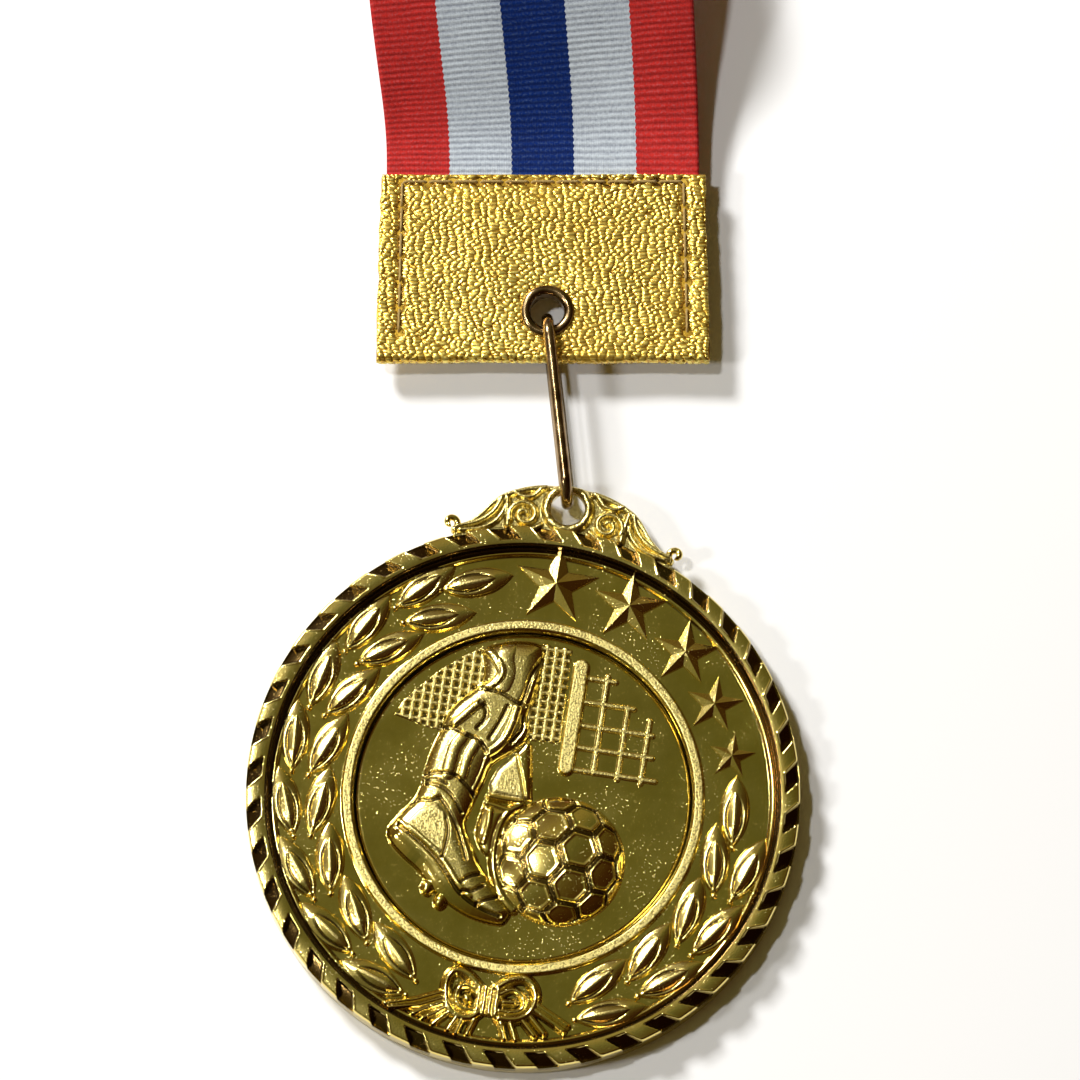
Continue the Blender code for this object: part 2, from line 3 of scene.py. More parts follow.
from math import cos, pi, radians, sin, sqrt

import bmesh
import bpy
import numpy as np
from mathutils import Matrix, Vector


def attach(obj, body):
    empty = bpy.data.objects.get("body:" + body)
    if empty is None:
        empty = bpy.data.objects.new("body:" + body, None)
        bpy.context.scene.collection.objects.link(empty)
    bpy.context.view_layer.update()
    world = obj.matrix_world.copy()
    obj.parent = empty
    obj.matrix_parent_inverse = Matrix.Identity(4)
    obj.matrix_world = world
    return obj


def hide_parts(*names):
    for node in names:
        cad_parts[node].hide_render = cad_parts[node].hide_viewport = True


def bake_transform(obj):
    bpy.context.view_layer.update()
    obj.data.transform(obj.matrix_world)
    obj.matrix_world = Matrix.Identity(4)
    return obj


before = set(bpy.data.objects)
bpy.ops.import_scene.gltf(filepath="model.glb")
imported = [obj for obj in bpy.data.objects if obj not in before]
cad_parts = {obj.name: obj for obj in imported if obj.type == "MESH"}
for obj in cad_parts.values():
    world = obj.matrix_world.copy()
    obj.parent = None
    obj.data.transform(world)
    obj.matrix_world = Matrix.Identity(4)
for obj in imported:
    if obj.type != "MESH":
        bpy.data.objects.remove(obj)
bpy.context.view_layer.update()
MM = 0.001

# Sizes shared with the frame, in millimetres
DISC_R, RING_OUT, RING_IN = 32.5, 21.3, 19.9
FIELD_Z, BORDER_Z, RING_Z, POCKET_Z = 2.4, 4.2, 3.2, 0.6
INSERT_R, INSERT_Z, INSERT_LOW = 19.6, 2.0, 1.0
HOLE = (0.0, 35.0)
HOLE_R = 2.0
LINK_LEAN, TAB_LEAN, RIBBON_LEAN = 14.8, 8.7, 14.3
MID_Z = 3.4
LINK_PLAY, LINK_BEND_R, LINK_SPAN, WIRE_R = 0.65, 2.6, 22.4, 0.7
EYELET_PLAY, EYELET_UP, EYELET_SIDE = 0.85, 6.2, 0.5
TAB_WIDTH, TAB_TOP_WIDTH, TAB_HEIGHT = 39.3, 38.3, 22.9
LEATHER, STRAP, LAYER_GAP = 0.4, 0.4, 0.1
RIBBON_WIDTH = 37.0
FOLD_UP = 0.9


# ---------------------------------------------------------------- directions and small maths

def along(lean):
    return np.array([-sin(radians(lean)), cos(radians(lean))])


def across(lean):
    return np.array([cos(radians(lean)), sin(radians(lean))])


LINK_DIR, TAB_UP, TAB_ACROSS = along(LINK_LEAN), along(TAB_LEAN), across(TAB_LEAN)
FLAP = np.array(HOLE) + LINK_DIR * (LINK_PLAY + LINK_BEND_R)
SWING = np.array(HOLE) + LINK_DIR * (LINK_PLAY + LINK_SPAN)
EYELET = SWING + TAB_UP * EYELET_PLAY
TAB_FOLD = EYELET - TAB_UP * EYELET_UP - TAB_ACROSS * EYELET_SIDE
FOLD_AXIS = TAB_FOLD + TAB_UP * (TAB_HEIGHT + FOLD_UP)


def step(low, high, x):
    """0 below low, 1 above high, smooth between."""
    t = np.clip((x - low) / (high - low), 0.0, 1.0)
    return t * t * (3 - 2 * t)


def ridge(x, half):
    """A round-topped ridge of half-width half about x = 0."""
    return np.sqrt(np.clip(1 - (x / half) ** 2, 0.0, 1.0))


def value_noise(x, y, seed):
    """Smooth noise from -1 to 1 with features one unit wide."""
    def lattice(i, j):
        h = np.sin(i * 127.1 + j * 311.7 + seed * 74.7) * 43758.5453
        return 2 * (h - np.floor(h)) - 1
    i, j = np.floor(x), np.floor(y)
    fx, fy = x - i, y - j
    fx, fy = fx * fx * (3 - 2 * fx), fy * fy * (3 - 2 * fy)
    return ((lattice(i, j) * (1 - fx) + lattice(i + 1, j) * fx) * (1 - fy)
            + (lattice(i, j + 1) * (1 - fx) + lattice(i + 1, j + 1) * fx) * fy)


def segment_distance(x, y, a, b):
    """Distance to the straight piece from a to b."""
    ax, ay = a
    dx, dy = b[0] - ax, b[1] - ay
    t = np.clip(((x - ax) * dx + (y - ay) * dy) / (dx * dx + dy * dy), 0, 1)
    return np.hypot(x - ax - t * dx, y - ay - t * dy)


def path_distance(x, y, points):
    """Distance to a chain of points."""
    best = np.full(x.shape, 1e9)
    for a, b in zip(points, points[1:]):
        best = np.minimum(best, segment_distance(x, y, a, b))
    return best


def inside_depth(x, y, outline):
    """Distance inside a closed outline: positive inside and negative outside."""
    inside = np.zeros(x.shape, bool)
    for (x0, y0), (x1, y1) in zip(outline, outline[1:] + outline[:1]):
        crosses = (y0 > y) != (y1 > y)
        at = x0 + (y - y0) * (x1 - x0) / (y1 - y0 if y1 != y0 else 1e-9)
        inside ^= crosses & (x < at)
    d = path_distance(x, y, outline + outline[:1])
    return np.where(inside, d, -d)


def smooth_chain(points, closed=False, parts=6):
    """A Catmull-Rom curve through the points."""
    n = len(points)
    out = []
    for k in range(n if closed else n - 1):
        around = [k + j for j in (-1, 0, 1, 2)]
        picked = [i % n if closed else min(max(i, 0), n - 1) for i in around]
        p = [np.array(points[i], float) for i in picked]
        linear = p[2] - p[0]
        square = 2 * p[0] - 5 * p[1] + 4 * p[2] - p[3]
        cube = 3 * p[1] - p[0] - 3 * p[2] + p[3]
        for i in range(parts):
            t = i / parts
            out.append(tuple(0.5 * (2 * p[1] + linear * t + square * t ** 2 + cube * t ** 3)))
    if not closed:
        out.append(tuple(np.array(points[-1], float)))
    return out


# ---------------------------------------------------------------- mesh helpers

def place_in_scene(name, data):
    thing = bpy.data.objects.new(name, data)
    bpy.context.scene.collection.objects.link(thing)
    return thing


def mesh_piece(name, points, faces, material, smooth=True, attributes=None, uv=None):
    """A mesh object from points in millimetres, with optional per-point numbers and UVs."""
    mesh = bpy.data.meshes.new(name)
    points = np.asarray(points, float) * MM
    faces = [np.asarray(block) for block in faces]
    counts = np.concatenate([np.full(len(block), block.shape[1]) for block in faces])
    corners = np.concatenate([block.ravel() for block in faces])
    mesh.vertices.add(len(points))
    mesh.vertices.foreach_set("co", points.ravel().astype(np.float32))
    mesh.loops.add(len(corners))
    mesh.loops.foreach_set("vertex_index", corners.astype(np.int32))
    mesh.polygons.add(len(counts))
    starts = np.concatenate([[0], np.cumsum(counts)[:-1]]).astype(np.int32)
    mesh.polygons.foreach_set("loop_start", starts)
    mesh.update(calc_edges=True)
    mesh.validate()
    for key, values in (attributes or {}).items():
        made = mesh.attributes.new(key, "FLOAT", "POINT")
        made.data.foreach_set("value", np.asarray(values, np.float32))
    if uv is not None:
        layer = mesh.uv_layers.new(name="UVMap")
        layer.data.foreach_set("uv", np.asarray(uv, np.float32)[corners].ravel())
    if smooth:
        mesh.shade_smooth()
    else:
        mesh.shade_flat()
    mesh.materials.append(material)
    return place_in_scene(name, mesh)


def grid_faces(rows, columns, start=0, closed=False):
    """Quads between the rows of a grid of points, row by row."""
    i = np.arange(rows - 1)[:, None]
    j = np.arange(columns if closed else columns - 1)[None, :]
    a = start + i * columns + j
    b = start + i * columns + (j + 1) % columns
    return np.stack([a, b, b + columns, a + columns], -1).reshape(-1, 4)


def flipped(faces):
    return faces[:, ::-1]


def edited(piece, edit):
    """Runs an edit on the piece's mesh, as a bmesh."""
    bm = bmesh.new()
    bm.from_mesh(piece.data)
    edit(bm)
    bm.to_mesh(piece.data)
    bm.free()
    return piece


def drop_loose(piece):
    """Removes the points that no face uses."""
    def edit(bm):
        bmesh.ops.delete(bm, geom=[v for v in bm.verts if not v.link_faces], context="VERTS")
    return edited(piece, edit)


def fix_normals(piece):
    edited(piece, lambda bm: bmesh.ops.recalc_face_normals(bm, faces=bm.faces))
    piece.data.shade_smooth()
    return piece


def edge_pairs(quads):
    """The four directed edges of each quad."""
    return np.concatenate([quads[:, [k, (k + 1) % 4]] for k in range(4)])


# ---------------------------------------------------------------- materials

def new_material(name):
    """(material, node tree, shader, object coordinates)"""
    made = bpy.data.materials.new(name)
    made.use_nodes = True
    tree = made.node_tree
    place = add(tree, "ShaderNodeTexCoord").outputs["Object"]
    return made, tree, tree.nodes["Principled BSDF"], place


def add(tree, kind, inputs=None, **settings):
    node = tree.nodes.new(kind)
    for key, value in settings.items():
        setattr(node, key, value)
    for key, value in (inputs or {}).items():
        if isinstance(value, bpy.types.NodeSocket):
            tree.links.new(value, node.inputs[key])
        else:
            node.inputs[key].default_value = value
    return node


def finish(tree, shader, colour, roughness, normal, **sockets):
    """Joins a material's colour, roughness and normal to its shader and sets its constant sockets."""
    for key, value in (("Base Color", colour), ("Roughness", roughness), ("Normal", normal)):
        if isinstance(value, bpy.types.NodeSocket):
            tree.links.new(value, shader.inputs[key])
        elif value is not None:
            shader.inputs[key].default_value = value
    for key, value in sockets.items():
        shader.inputs[key.replace("_", " ")].default_value = value


def ramp(tree, factor, stops, steps=False):
    """A colour ramp from (position, colour) pairs, smooth or in hard steps."""
    node = add(tree, "ShaderNodeValToRGB", {"Fac": factor})
    if steps:
        node.color_ramp.interpolation = "CONSTANT"
    for k, (at, colour) in enumerate(stops):
        element = node.color_ramp.elements[k] if k < 2 else node.color_ramp.elements.new(at)
        element.position = at
        element.color = (*colour, 1.0)
    return node.outputs["Color"]


def span(tree, value, low, high, out_low, out_high):
    return add(tree, "ShaderNodeMapRange", {"Value": value, "From Min": low, "From Max": high,
                                            "To Min": out_low, "To Max": out_high}).outputs["Result"]


def noise(tree, vector, scale, detail=3.0, rough=0.55):
    return add(tree, "ShaderNodeTexNoise", {"Vector": vector, "Scale": scale, "Detail": detail,
                                            "Roughness": rough}).outputs["Fac"]


def maths(tree, operation, a, b):
    return add(tree, "ShaderNodeMath", {0: a, 1: b}, operation=operation).outputs[0]


def times(tree, a, b):
    return maths(tree, "MULTIPLY", a, b)


def plus(tree, a, b):
    return maths(tree, "ADD", a, b)


def mix(tree, factor, a, b, how="MIX"):
    """Colour a turned into b by the factor; either may be a socket or three numbers."""
    a, b = [(*c, 1.0) if isinstance(c, tuple) else c for c in (a, b)]
    return add(tree, "ShaderNodeMix", {"Factor": factor, "A": a, "B": b}, data_type="RGBA",
               blend_type=how).outputs["Result"]


def bump(tree, height, strength, distance, normal=None):
    inputs = {"Height": height, "Strength": strength, "Distance": distance}
    if normal is not None:
        inputs["Normal"] = normal
    return add(tree, "ShaderNodeBump", inputs).outputs["Normal"]


def attribute(tree, name):
    return add(tree, "ShaderNodeAttribute", attribute_name=name).outputs["Fac"]


def plated_gold():
    """Polished gold plate: clear in the fields, sparkling where it is stippled, with brown painted shade in
    the stipple's pits and in the relief's recesses, grooves and creases.
    """
    made, tree, shader, place = new_material("plated_gold")
    stipple = attribute(tree, "stipple")
    fine = noise(tree, place, 4600.0, 1.0, 0.5)
    haze = noise(tree, place, 160.0, 5.0, 0.6)
    dust = noise(tree, place, 3400.0, 2.0, 0.5)
    specks = times(tree, span(tree, dust, 0.645, 0.69, 0.0, 1.0), span(tree, haze, 0.45, 0.62, 0.1, 1.0))
    tone = ramp(tree, haze, [(0.3, (0.80, 0.63, 0.17)), (0.7, (0.90, 0.74, 0.25))])
    frosted = mix(tree, times(tree, stipple, 0.7), tone, (1.0, 0.86, 0.34))
    # painted shade: dark brown spots in the pits of the stippled areas
    pit_shade = times(tree, span(tree, fine, 0.50, 0.38, 0.0, 0.75), span(tree, stipple, 0.3, 0.9, 0.0, 1.0))
    pit_shaded = mix(tree, pit_shade, frosted, (0.22, 0.13, 0.02))
    # painted shade: near-black brown in the recesses, grooves, creases and net holes that the mask attribute
    # marks, plus a light brown tone on the leaves
    with_painted_shade = mix(tree, attribute(tree, "shade_and_tone"), pit_shaded, (0.06, 0.020, 0.005))
    clear = span(tree, haze, 0.35, 0.75, 0.09, 0.15)
    dusty = plus(tree, clear, times(tree, specks, 0.25))
    rough = add(tree, "ShaderNodeMix", {"Factor": stipple, "A": dusty, "B": 0.32}).outputs["Result"]
    grain = times(tree, fine, plus(tree, stipple, times(tree, specks, 0.5)))
    normal = bump(tree, noise(tree, place, 420.0, 2.0, 0.5), 0.02, 0.0004)
    finish(tree, shader, with_painted_shade, rough, bump(tree, grain, 0.75, 0.00006, normal), Metallic=1.0)
    return made


def antique_brass():
    """Brass wire and eyelet, browned in patches."""
    made, tree, shader, place = new_material("antique_brass_wire")
    patch = noise(tree, place, 500.0, 4.0, 0.6)
    tone = ramp(tree, patch, [(0.3, (0.17, 0.105, 0.048)), (0.72, (0.46, 0.32, 0.16))])
    drawn = bump(tree, noise(tree, place, 2500.0, 2.0, 0.5), 0.15, 0.00005)
    finish(tree, shader, tone, span(tree, patch, 0.3, 0.7, 0.14, 0.28), drawn, Metallic=1.0)
    return made


def leatherette():
    """Metallic foil over a pebble grain, with painted highlight on the pebbles, brown painted shade in the
    creases and at the seams, and darker golden-brown in wide random patches.
    """
    made, tree, shader, place = new_material("gold_leatherette_grain")
    mottled = noise(tree, place, 700.0, 3.0, 0.6)
    wide = noise(tree, place, 90.0, 2.0, 0.5)
    # painted light: low pebble height gives the dark brown of painted shade in the creases, high gives the
    # pale gold of a painted highlight on the pebble tops; the mottle is random tone
    raised = plus(tree, attribute(tree, "grain"), span(tree, mottled, 0.2, 0.8, -0.22, 0.22))
    tone = ramp(tree, raised, [(0.03, (0.22, 0.080, 0.003)), (0.36, (0.86, 0.50, 0.03)),
                               (0.80, (1.0, 0.84, 0.21))])
    # darker golden-brown in wide random patches
    broad_patches = mix(tree, span(tree, wide, 0.38, 0.66, 0.0, 0.6), tone, (0.76, 0.46, 0.055))
    # painted shade at the needle holes and along the seams
    seam_shaded = mix(tree, attribute(tree, "shade_and_tone"), broad_patches, (0.12, 0.045, 0.006))
    pores = bump(tree, noise(tree, place, 6000.0, 2.0, 0.5), 0.25, 0.00006)
    finish(tree, shader, seam_shaded, span(tree, mottled, 0.3, 0.7, 0.22, 0.38), pores,
           Metallic=0.80, Coat_Weight=0.6, Coat_Roughness=0.22)
    return made


def thread_material():
    made, tree, shader, place = new_material("seam_thread_twist")
    twist = add(tree, "ShaderNodeTexWave", {"Vector": place, "Scale": 2200.0, "Distortion": 1.5})
    strands = twist.outputs["Fac"]
    tone = ramp(tree, strands, [(0.2, (0.22, 0.12, 0.02)), (0.8, (0.55, 0.38, 0.10))])
    finish(tree, shader, tone, 0.6, bump(tree, strands, 0.6, 0.00006), Sheen_Weight=0.3)
    return made


RIB_PITCH, WARP_PITCH = 0.75, 0.28


def ribbon_material():
    """Five equal stripes, stepped along the weft ribs, over fine warp threads, with painted glints on the
    threads, painted shade in the rib valleys and painted highlight on the rib crests.
    """
    made, tree, shader, place = new_material("striped_ribbon_weave")
    along_strip = add(tree, "ShaderNodeTexCoord").outputs["UV"]
    uv = add(tree, "ShaderNodeSeparateXYZ", {"Vector": along_strip})
    side, run = uv.outputs["X"], uv.outputs["Y"]      # metres across and along the strip
    drift = span(tree, noise(tree, place, 260.0, 2.0, 0.5), 0.2, 0.8, -0.15, 0.15)
    ribs = plus(tree, maths(tree, "DIVIDE", run, RIB_PITCH * MM), drift)
    weft = maths(tree, "PINGPONG", ribs, 0.5)
    warp = maths(tree, "PINGPONG", maths(tree, "DIVIDE", side, WARP_PITCH * MM), 0.5)
    fuzz = noise(tree, place, 3000.0, 3.0, 0.6)
    # broad noise for a painted sheen that varies across the ribbon
    broad_patches = noise(tree, place, 140.0, 3.0, 0.6)

    red, white, blue = (0.50, 0.022, 0.018), (0.48, 0.53, 0.575), (0.0, 0.016, 0.125)
    stripe = maths(tree, "DIVIDE", plus(tree, side, times(tree, weft, 0.00030)), RIBBON_WIDTH * MM)
    stripes = [(0.2 * k, colour) for k, colour in enumerate((red, white, blue, white, red))]
    dyed = ramp(tree, stripe, stripes, steps=True)
    strands = noise(tree, along_strip, 3200.0, 2.0, 0.5)
    # painted highlight: pale glints on the threads along the rib crests
    glint = times(tree, span(tree, strands, 0.45, 0.70, 0.0, 0.12), times(tree, weft, 2.0))
    with_painted_glint = mix(tree, glint, dyed, (0.30, 0.42, 0.47))
    # fine fuzz as random tone and broad noise as painted sheen
    fuzz_and_sheen = plus(tree, times(tree, fuzz, 0.6), times(tree, broad_patches, 0.25))
    shade = plus(tree, times(tree, weft, 0.75), maths(tree, "SUBTRACT", fuzz_and_sheen, 0.17))
    # colour multiplier of painted shade in the rib valleys and painted highlight on the rib crests
    dark = mix(tree, span(tree, shade, 0.1, 0.65, 0.0, 1.0), (0.36, 0.36, 0.42), (1.16, 1.16, 1.16))
    threads = plus(tree, times(tree, warp, 0.35), times(tree, fuzz, 0.5))
    finish(tree, shader, mix(tree, 1.0, with_painted_glint, dark, "MULTIPLY"), 0.72, bump(tree, threads, 0.55, 0.00012),
           Sheen_Weight=0.03, Specular_IOR_Level=0.12)
    return made


def adhesive_foam():
    made, tree, shader, place = new_material("adhesive_foam")
    cells = noise(tree, place, 1800.0, 4.0, 0.6)
    finish(tree, shader, ramp(tree, cells, [(0.3, (0.62, 0.62, 0.60)), (0.7, (0.78, 0.78, 0.75))]), 0.7, None)
    return made


def floor_material():
    made, tree, shader, place = new_material("pale_floor")
    tone = ramp(tree, noise(tree, place, 6.0, 2.0), [(0.3, (0.90, 0.90, 0.90)), (0.7, (0.93, 0.93, 0.93))])
    finish(tree, shader, tone, 0.6, None)
    return made


# ---------------------------------------------------------------- camera, floor and light

IMAGE_SIDE = 1080
DOTS_PER_MM = 8.49
CAMERA_DISTANCE, CAMERA_TILT = 1600.0, 13.0
TARGET = Vector((*((TAB_ACROSS * 2.0 + TAB_UP * 30.9) * MM), 3 * MM))
LEFT = -TAB_ACROSS


def long_lens_camera():
    """A distant camera above the medal, tilted towards its foot."""
    tilt = radians(CAMERA_TILT)
    up = Vector((*TAB_UP, 0.0))
    place = TARGET + (Vector((0, 0, 1)) * cos(tilt) - up * sin(tilt)) * CAMERA_DISTANCE * MM
    camera = place_in_scene("camera", bpy.data.cameras.new("camera"))
    back = (place - TARGET).normalized()
    right = up.cross(back).normalized()
    camera.matrix_world = Matrix((right, back.cross(right), back)).transposed().to_4x4()
    camera.location = place
    camera.data.sensor_width = 36.0
    camera.data.lens = camera.data.sensor_width * CAMERA_DISTANCE / (IMAGE_SIDE / DOTS_PER_MM)
    camera.data.clip_start = 0.1
    bpy.context.scene.camera = camera


def pale_floor():
    size = 3.0
    corners = [(-size, -size, 0), (size, -size, 0), (size, size, 0), (-size, size, 0)]
    floor = bpy.data.meshes.new("floor")
    floor.from_pydata(corners, [], [(0, 1, 2, 3)])
    floor.materials.append(floor_material())
    plane = place_in_scene("floor", floor)
    plane.location.z = -0.0001


def overhead(name, lean_left, lean_up, reach, size, power):
    """A square lamp whose direction leans from the vertical by two angles in degrees."""
    flat = LEFT * sin(radians(lean_left)) + TAB_UP * sin(radians(lean_up))
    way = Vector((*flat, sqrt(max(0.05, 1 - flat @ flat))))
    data = bpy.data.lights.new(name, "AREA")
    data.shape = "SQUARE"
    data.size = size
    data.energy = power
    lamp = place_in_scene(name, data)
    lamp.location = TARGET + way * reach
    lamp.rotation_euler = (-way).to_track_quat("-Z", "Y").to_euler()


def studio_sky():
    """Warm walls that run from dark on the lower right to a soft light band on the upper left."""
    world = bpy.data.worlds.new("studio")
    bpy.context.scene.world = world
    world.use_nodes = True
    tree = world.node_tree
    direction = add(tree, "ShaderNodeTexCoord").outputs["Generated"]
    bright_side = (*(LEFT * 0.75 + TAB_UP * 0.66), 0.0)
    facing = add(tree, "ShaderNodeVectorMath", {0: direction, 1: bright_side}, operation="DOT_PRODUCT")
    share = span(tree, facing.outputs["Value"], -1.0, 1.0, 0.0, 1.0)
    sky = ramp(tree, share, [(0.0, (0.02, 0.007, 0.002)), (1.0, (0.16, 0.11, 0.05)),
                             (0.28, (0.045, 0.018, 0.004)), (0.45, (0.085, 0.062, 0.018)),
                             (0.56, (0.102, 0.106, 0.040)), (0.66, (0.26, 0.215, 0.09)),
                             (0.80, (0.10, 0.06, 0.02))])
    tree.links.new(sky, tree.nodes["Background"].inputs["Color"])


def stage():
    long_lens_camera()
    pale_floor()
    overhead("key", 30.0, 37.0, 1.2, 0.22, 15.0)
    overhead("sparkle", 20.0, 8.0, 1.0, 0.07, 3.0)
    overhead("rim", 46.0, -10.0, 1.0, 0.12, 2.6)
    studio_sky()
    bpy.context.scene.view_settings.view_transform = "Standard"


# ---------------------------------------------------------------- cast relief of the disc

LEAF_LENGTH, LEAF_WIDTH, LEAF_PITCH = 8.9, 3.6, 16.63
LEAF_ROWS = ((27.8, 11.0), (23.7, -16.0))
# Leaves: (angle from the top in degrees, radius in mm, lean in degrees)
LEAVES = [(-33.0 - LEAF_PITCH * k, *row) for row in LEAF_ROWS for k in range(8)]
LEAVES += [(99.5 + LEAF_PITCH * k, *row) for row in LEAF_ROWS for k in range(4)]
LEAVES += [(-20.4, 26.4, 0.0), (85.2, 24.9, 0.0)]
LEAF_BEAD_R = 0.36
HEART_BACK = -0.75            # middle of the raised heart along the leaf

# Stars: (angle from the top in degrees, radius, point radius and rise of the facets in mm)
STARS = ((0, 25.9, 5.1, 0.775), (20, 26.1, 4.5, 0.725), (39, 25.8, 4.05, 0.675), (55, 25.1, 3.5, 0.6),
         (70, 25.0, 2.8, 0.5))
STAR_NOTCH = 0.40             # notch radius as a share of the point's
STAR_WALL = 0.42


def leaf_surface(u, s):
    """(v, height, stipple, painted shade and brown tone) of a leaf at u along its spine and s from -1 to 1
    across it.
    """
    half = LEAF_WIDTH / 2 * np.clip(1 - np.abs(2 * u / LEAF_LENGTH) ** 2.3, 0.01, 1)
    v = s * half
    full = np.clip(half / (LEAF_WIDTH * 0.42), 0, 1)
    dome = 0.45 * step(0.0, 0.34, half - np.abs(v)) + 0.40 * (1 - s * s) * full
    from_heart = u - HEART_BACK
    heart_half = LEAF_WIDTH * 0.25 * np.clip(1 - np.abs(2 * from_heart / (LEAF_LENGTH * 0.66)) ** 2, 0, 1)
    inner = heart_half - np.abs(v)
    tip = np.clip(from_heart / (LEAF_LENGTH * 0.33), -1, 1)
    groove = np.exp(-((inner + 0.08) / 0.13) ** 2) * step(0.02, 0.15, heart_half) * step(1.0, 0.4, tip)
    rib = 0.10 * step(0.0, 0.12, inner) + 0.24 * np.clip(inner, 0, 1)
    stipple = 0.32 + 0.5 * step(0.34, 0.14, np.abs(v)) * step(0.1, 0.3, inner) * step(-0.9, -0.2, tip)
    # the last value: painted shade in the groove round the heart, over a light brown tone on the whole leaf
    return v, dome - 0.12 * groove + rib, stipple, np.maximum(0.12, 0.85 * groove)


class Relief:
    """Grids of points that are gathered into one mesh, each with its stipple and its mask of painted shade.
    """

    def __init__(self):
        self.points, self.faces, self.stipple, self.shade_and_tone = [], [], [], []
        self.count = 0

    def add(self, x, y, z, stipple=0.0, shade_and_tone=0.0):
        rows, columns = x.shape
        self.points.append(np.stack([x, y, z + 0 * x], -1).reshape(-1, 3))
        self.faces.append(grid_faces(rows, columns, self.count))
        self.stipple.append((stipple + 0 * x).ravel())
        self.shade_and_tone.append((shade_and_tone + 0 * x).ravel())
        self.count += x.size

    def piece(self, name, material):
        masks = {"stipple": np.concatenate(self.stipple), "shade_and_tone": np.concatenate(self.shade_and_tone)}
        return mesh_piece(name, np.concatenate(self.points), self.faces, material, attributes=masks)


def wreath(gold):
    """Almond leaves with a raised heart, each with a bead at its foot."""
    spine = np.linspace(-LEAF_LENGTH / 2, LEAF_LENGTH / 2, 101)
    u, s = np.meshgrid(spine, np.linspace(-1, 1, 61), indexing="ij")
    v, height, stipple, shade_and_tone = leaf_surface(u, s)
    rise, turn = np.meshgrid(np.linspace(0, pi / 2, 7), np.linspace(0, 2 * pi, 21), indexing="ij")
    bead_x = LEAF_BEAD_R * np.cos(rise) * np.cos(turn)
    bead_y = LEAF_BEAD_R * np.cos(rise) * np.sin(turn)
    bead_z = FIELD_Z + 0.25 + LEAF_BEAD_R * np.sin(rise)
    relief = Relief()
    for angle, radius, lean in LEAVES:
        a = radians(angle)
        side = 1 if angle < 0 else -1
        heading = -a - side * radians(90 - lean)
        forward = np.array([-sin(heading), cos(heading)])
        sideways = np.array([cos(heading), sin(heading)])
        middle = radius * np.array([sin(a), cos(a)])
        x = middle[0] + u * forward[0] + v * sideways[0]
        y = middle[1] + u * forward[1] + v * sideways[1]
        relief.add(x, y, FIELD_Z - 0.04 + height, stipple, shade_and_tone)
        foot = middle - forward * (LEAF_LENGTH / 2 - 0.05)
        relief.add(foot[0] + bead_x, foot[1] + bead_y, bead_z)
    return relief.piece("wreath_leaves", gold)


def star_row(gold):
    """Upright five-pointed stars: a low wall and ten flat facets that rise to the middle."""
    points, faces = [], []
    k = np.arange(10)
    after = (k + 1) % 10
    levels = ((1.0, FIELD_Z - 0.05), (1.0, FIELD_Z + 0.32), (0.96, FIELD_Z + STAR_WALL))
    for angle, radius, size, rise in STARS:
        a = radians(angle)
        middle_x, middle_y = radius * sin(a), radius * cos(a)
        reach = np.where(k % 2 == 0, size, size * STAR_NOTCH)
        start = len(points)
        for share, z in levels:
            x = middle_x + share * reach * np.sin(pi * k / 5)
            y = middle_y + share * reach * np.cos(pi * k / 5)
            points += list(zip(x, y, [z] * 10))
        points.append((middle_x, middle_y, FIELD_Z + STAR_WALL + rise))
        for low in (start, start + 10):
            faces.append(np.stack([low + after, low + k, low + 10 + k, low + 10 + after], -1))
        faces.append(np.stack([start + 20 + after, start + 20 + k, np.full(10, start + 30)], -1))
    masks = {"stipple": np.full(len(points), 0.2)}
    return mesh_piece("star_row", points, faces, gold, smooth=False, attributes=masks)


# Loops of the bow: (path, half width, height)
BOW_LOOPS = (
    ([(-1.6, -23.2), (-3.0, -22.0), (-4.6, -21.7), (-5.4, -22.8), (-5.4, -24.4), (-4.9, -26.0),
      (-3.7, -26.9), (-2.2, -27.0), (-1.2, -26.2)], 0.62, 0.95),
    ([(-1.5, -24.3), (-2.7, -23.3), (-3.9, -23.6), (-4.1, -25.0), (-3.3, -25.9), (-1.9, -26.1)], 0.42, 0.8),
    ([(-2.9, -24.6), (-2.7, -24.9)], 0.55, 0.85),
    ([(0.5, -23.0), (1.9, -21.9), (3.6, -21.5), (4.8, -22.5), (5.1, -24.0), (4.6, -25.5), (3.2, -26.4),
      (1.2, -26.6)], 0.62, 0.95),
    ([(0.6, -24.0), (2.3, -23.0), (3.6, -23.7), (3.8, -24.9), (2.8, -25.6), (1.1, -25.7)], 0.42, 0.8),
    ([(1.5, -24.6), (2.6, -24.5)], 0.5, 0.85),
)
BOW_TAILS = (
    [(-5.4, -24.3), (-8.7, -25.8), (-12.2, -26.8)], [(-5.3, -25.0), (-8.3, -26.4), (-11.7, -27.2)],
    [(-5.2, -25.5), (-7.1, -26.5), (-8.8, -27.5)], [(-4.8, -25.9), (-6.3, -27.1), (-7.6, -27.9)],
    [(-4.5, -26.5), (-5.7, -27.7), (-6.3, -28.4)], [(-3.7, -27.2), (-4.5, -28.8)],
    [(-3.0, -27.3), (-3.5, -29.0)],
    [(-1.6, -27.2), (-2.2, -29.0)], [(1.5, -27.1), (2.2, -28.9)], [(2.6, -26.9), (3.5, -28.8)],
    [(3.9, -26.3), (5.6, -28.0)], [(4.7, -25.7), (6.7, -27.6)], [(5.3, -25.0), (8.9, -26.9)],
    [(5.4, -24.4), (9.2, -26.3)],
)
KNOT, KNOT_HALF, KNOT_RIB = (-0.43, -24.7), (1.45, 1.9), 0.72
BOW_GRID = 0.06


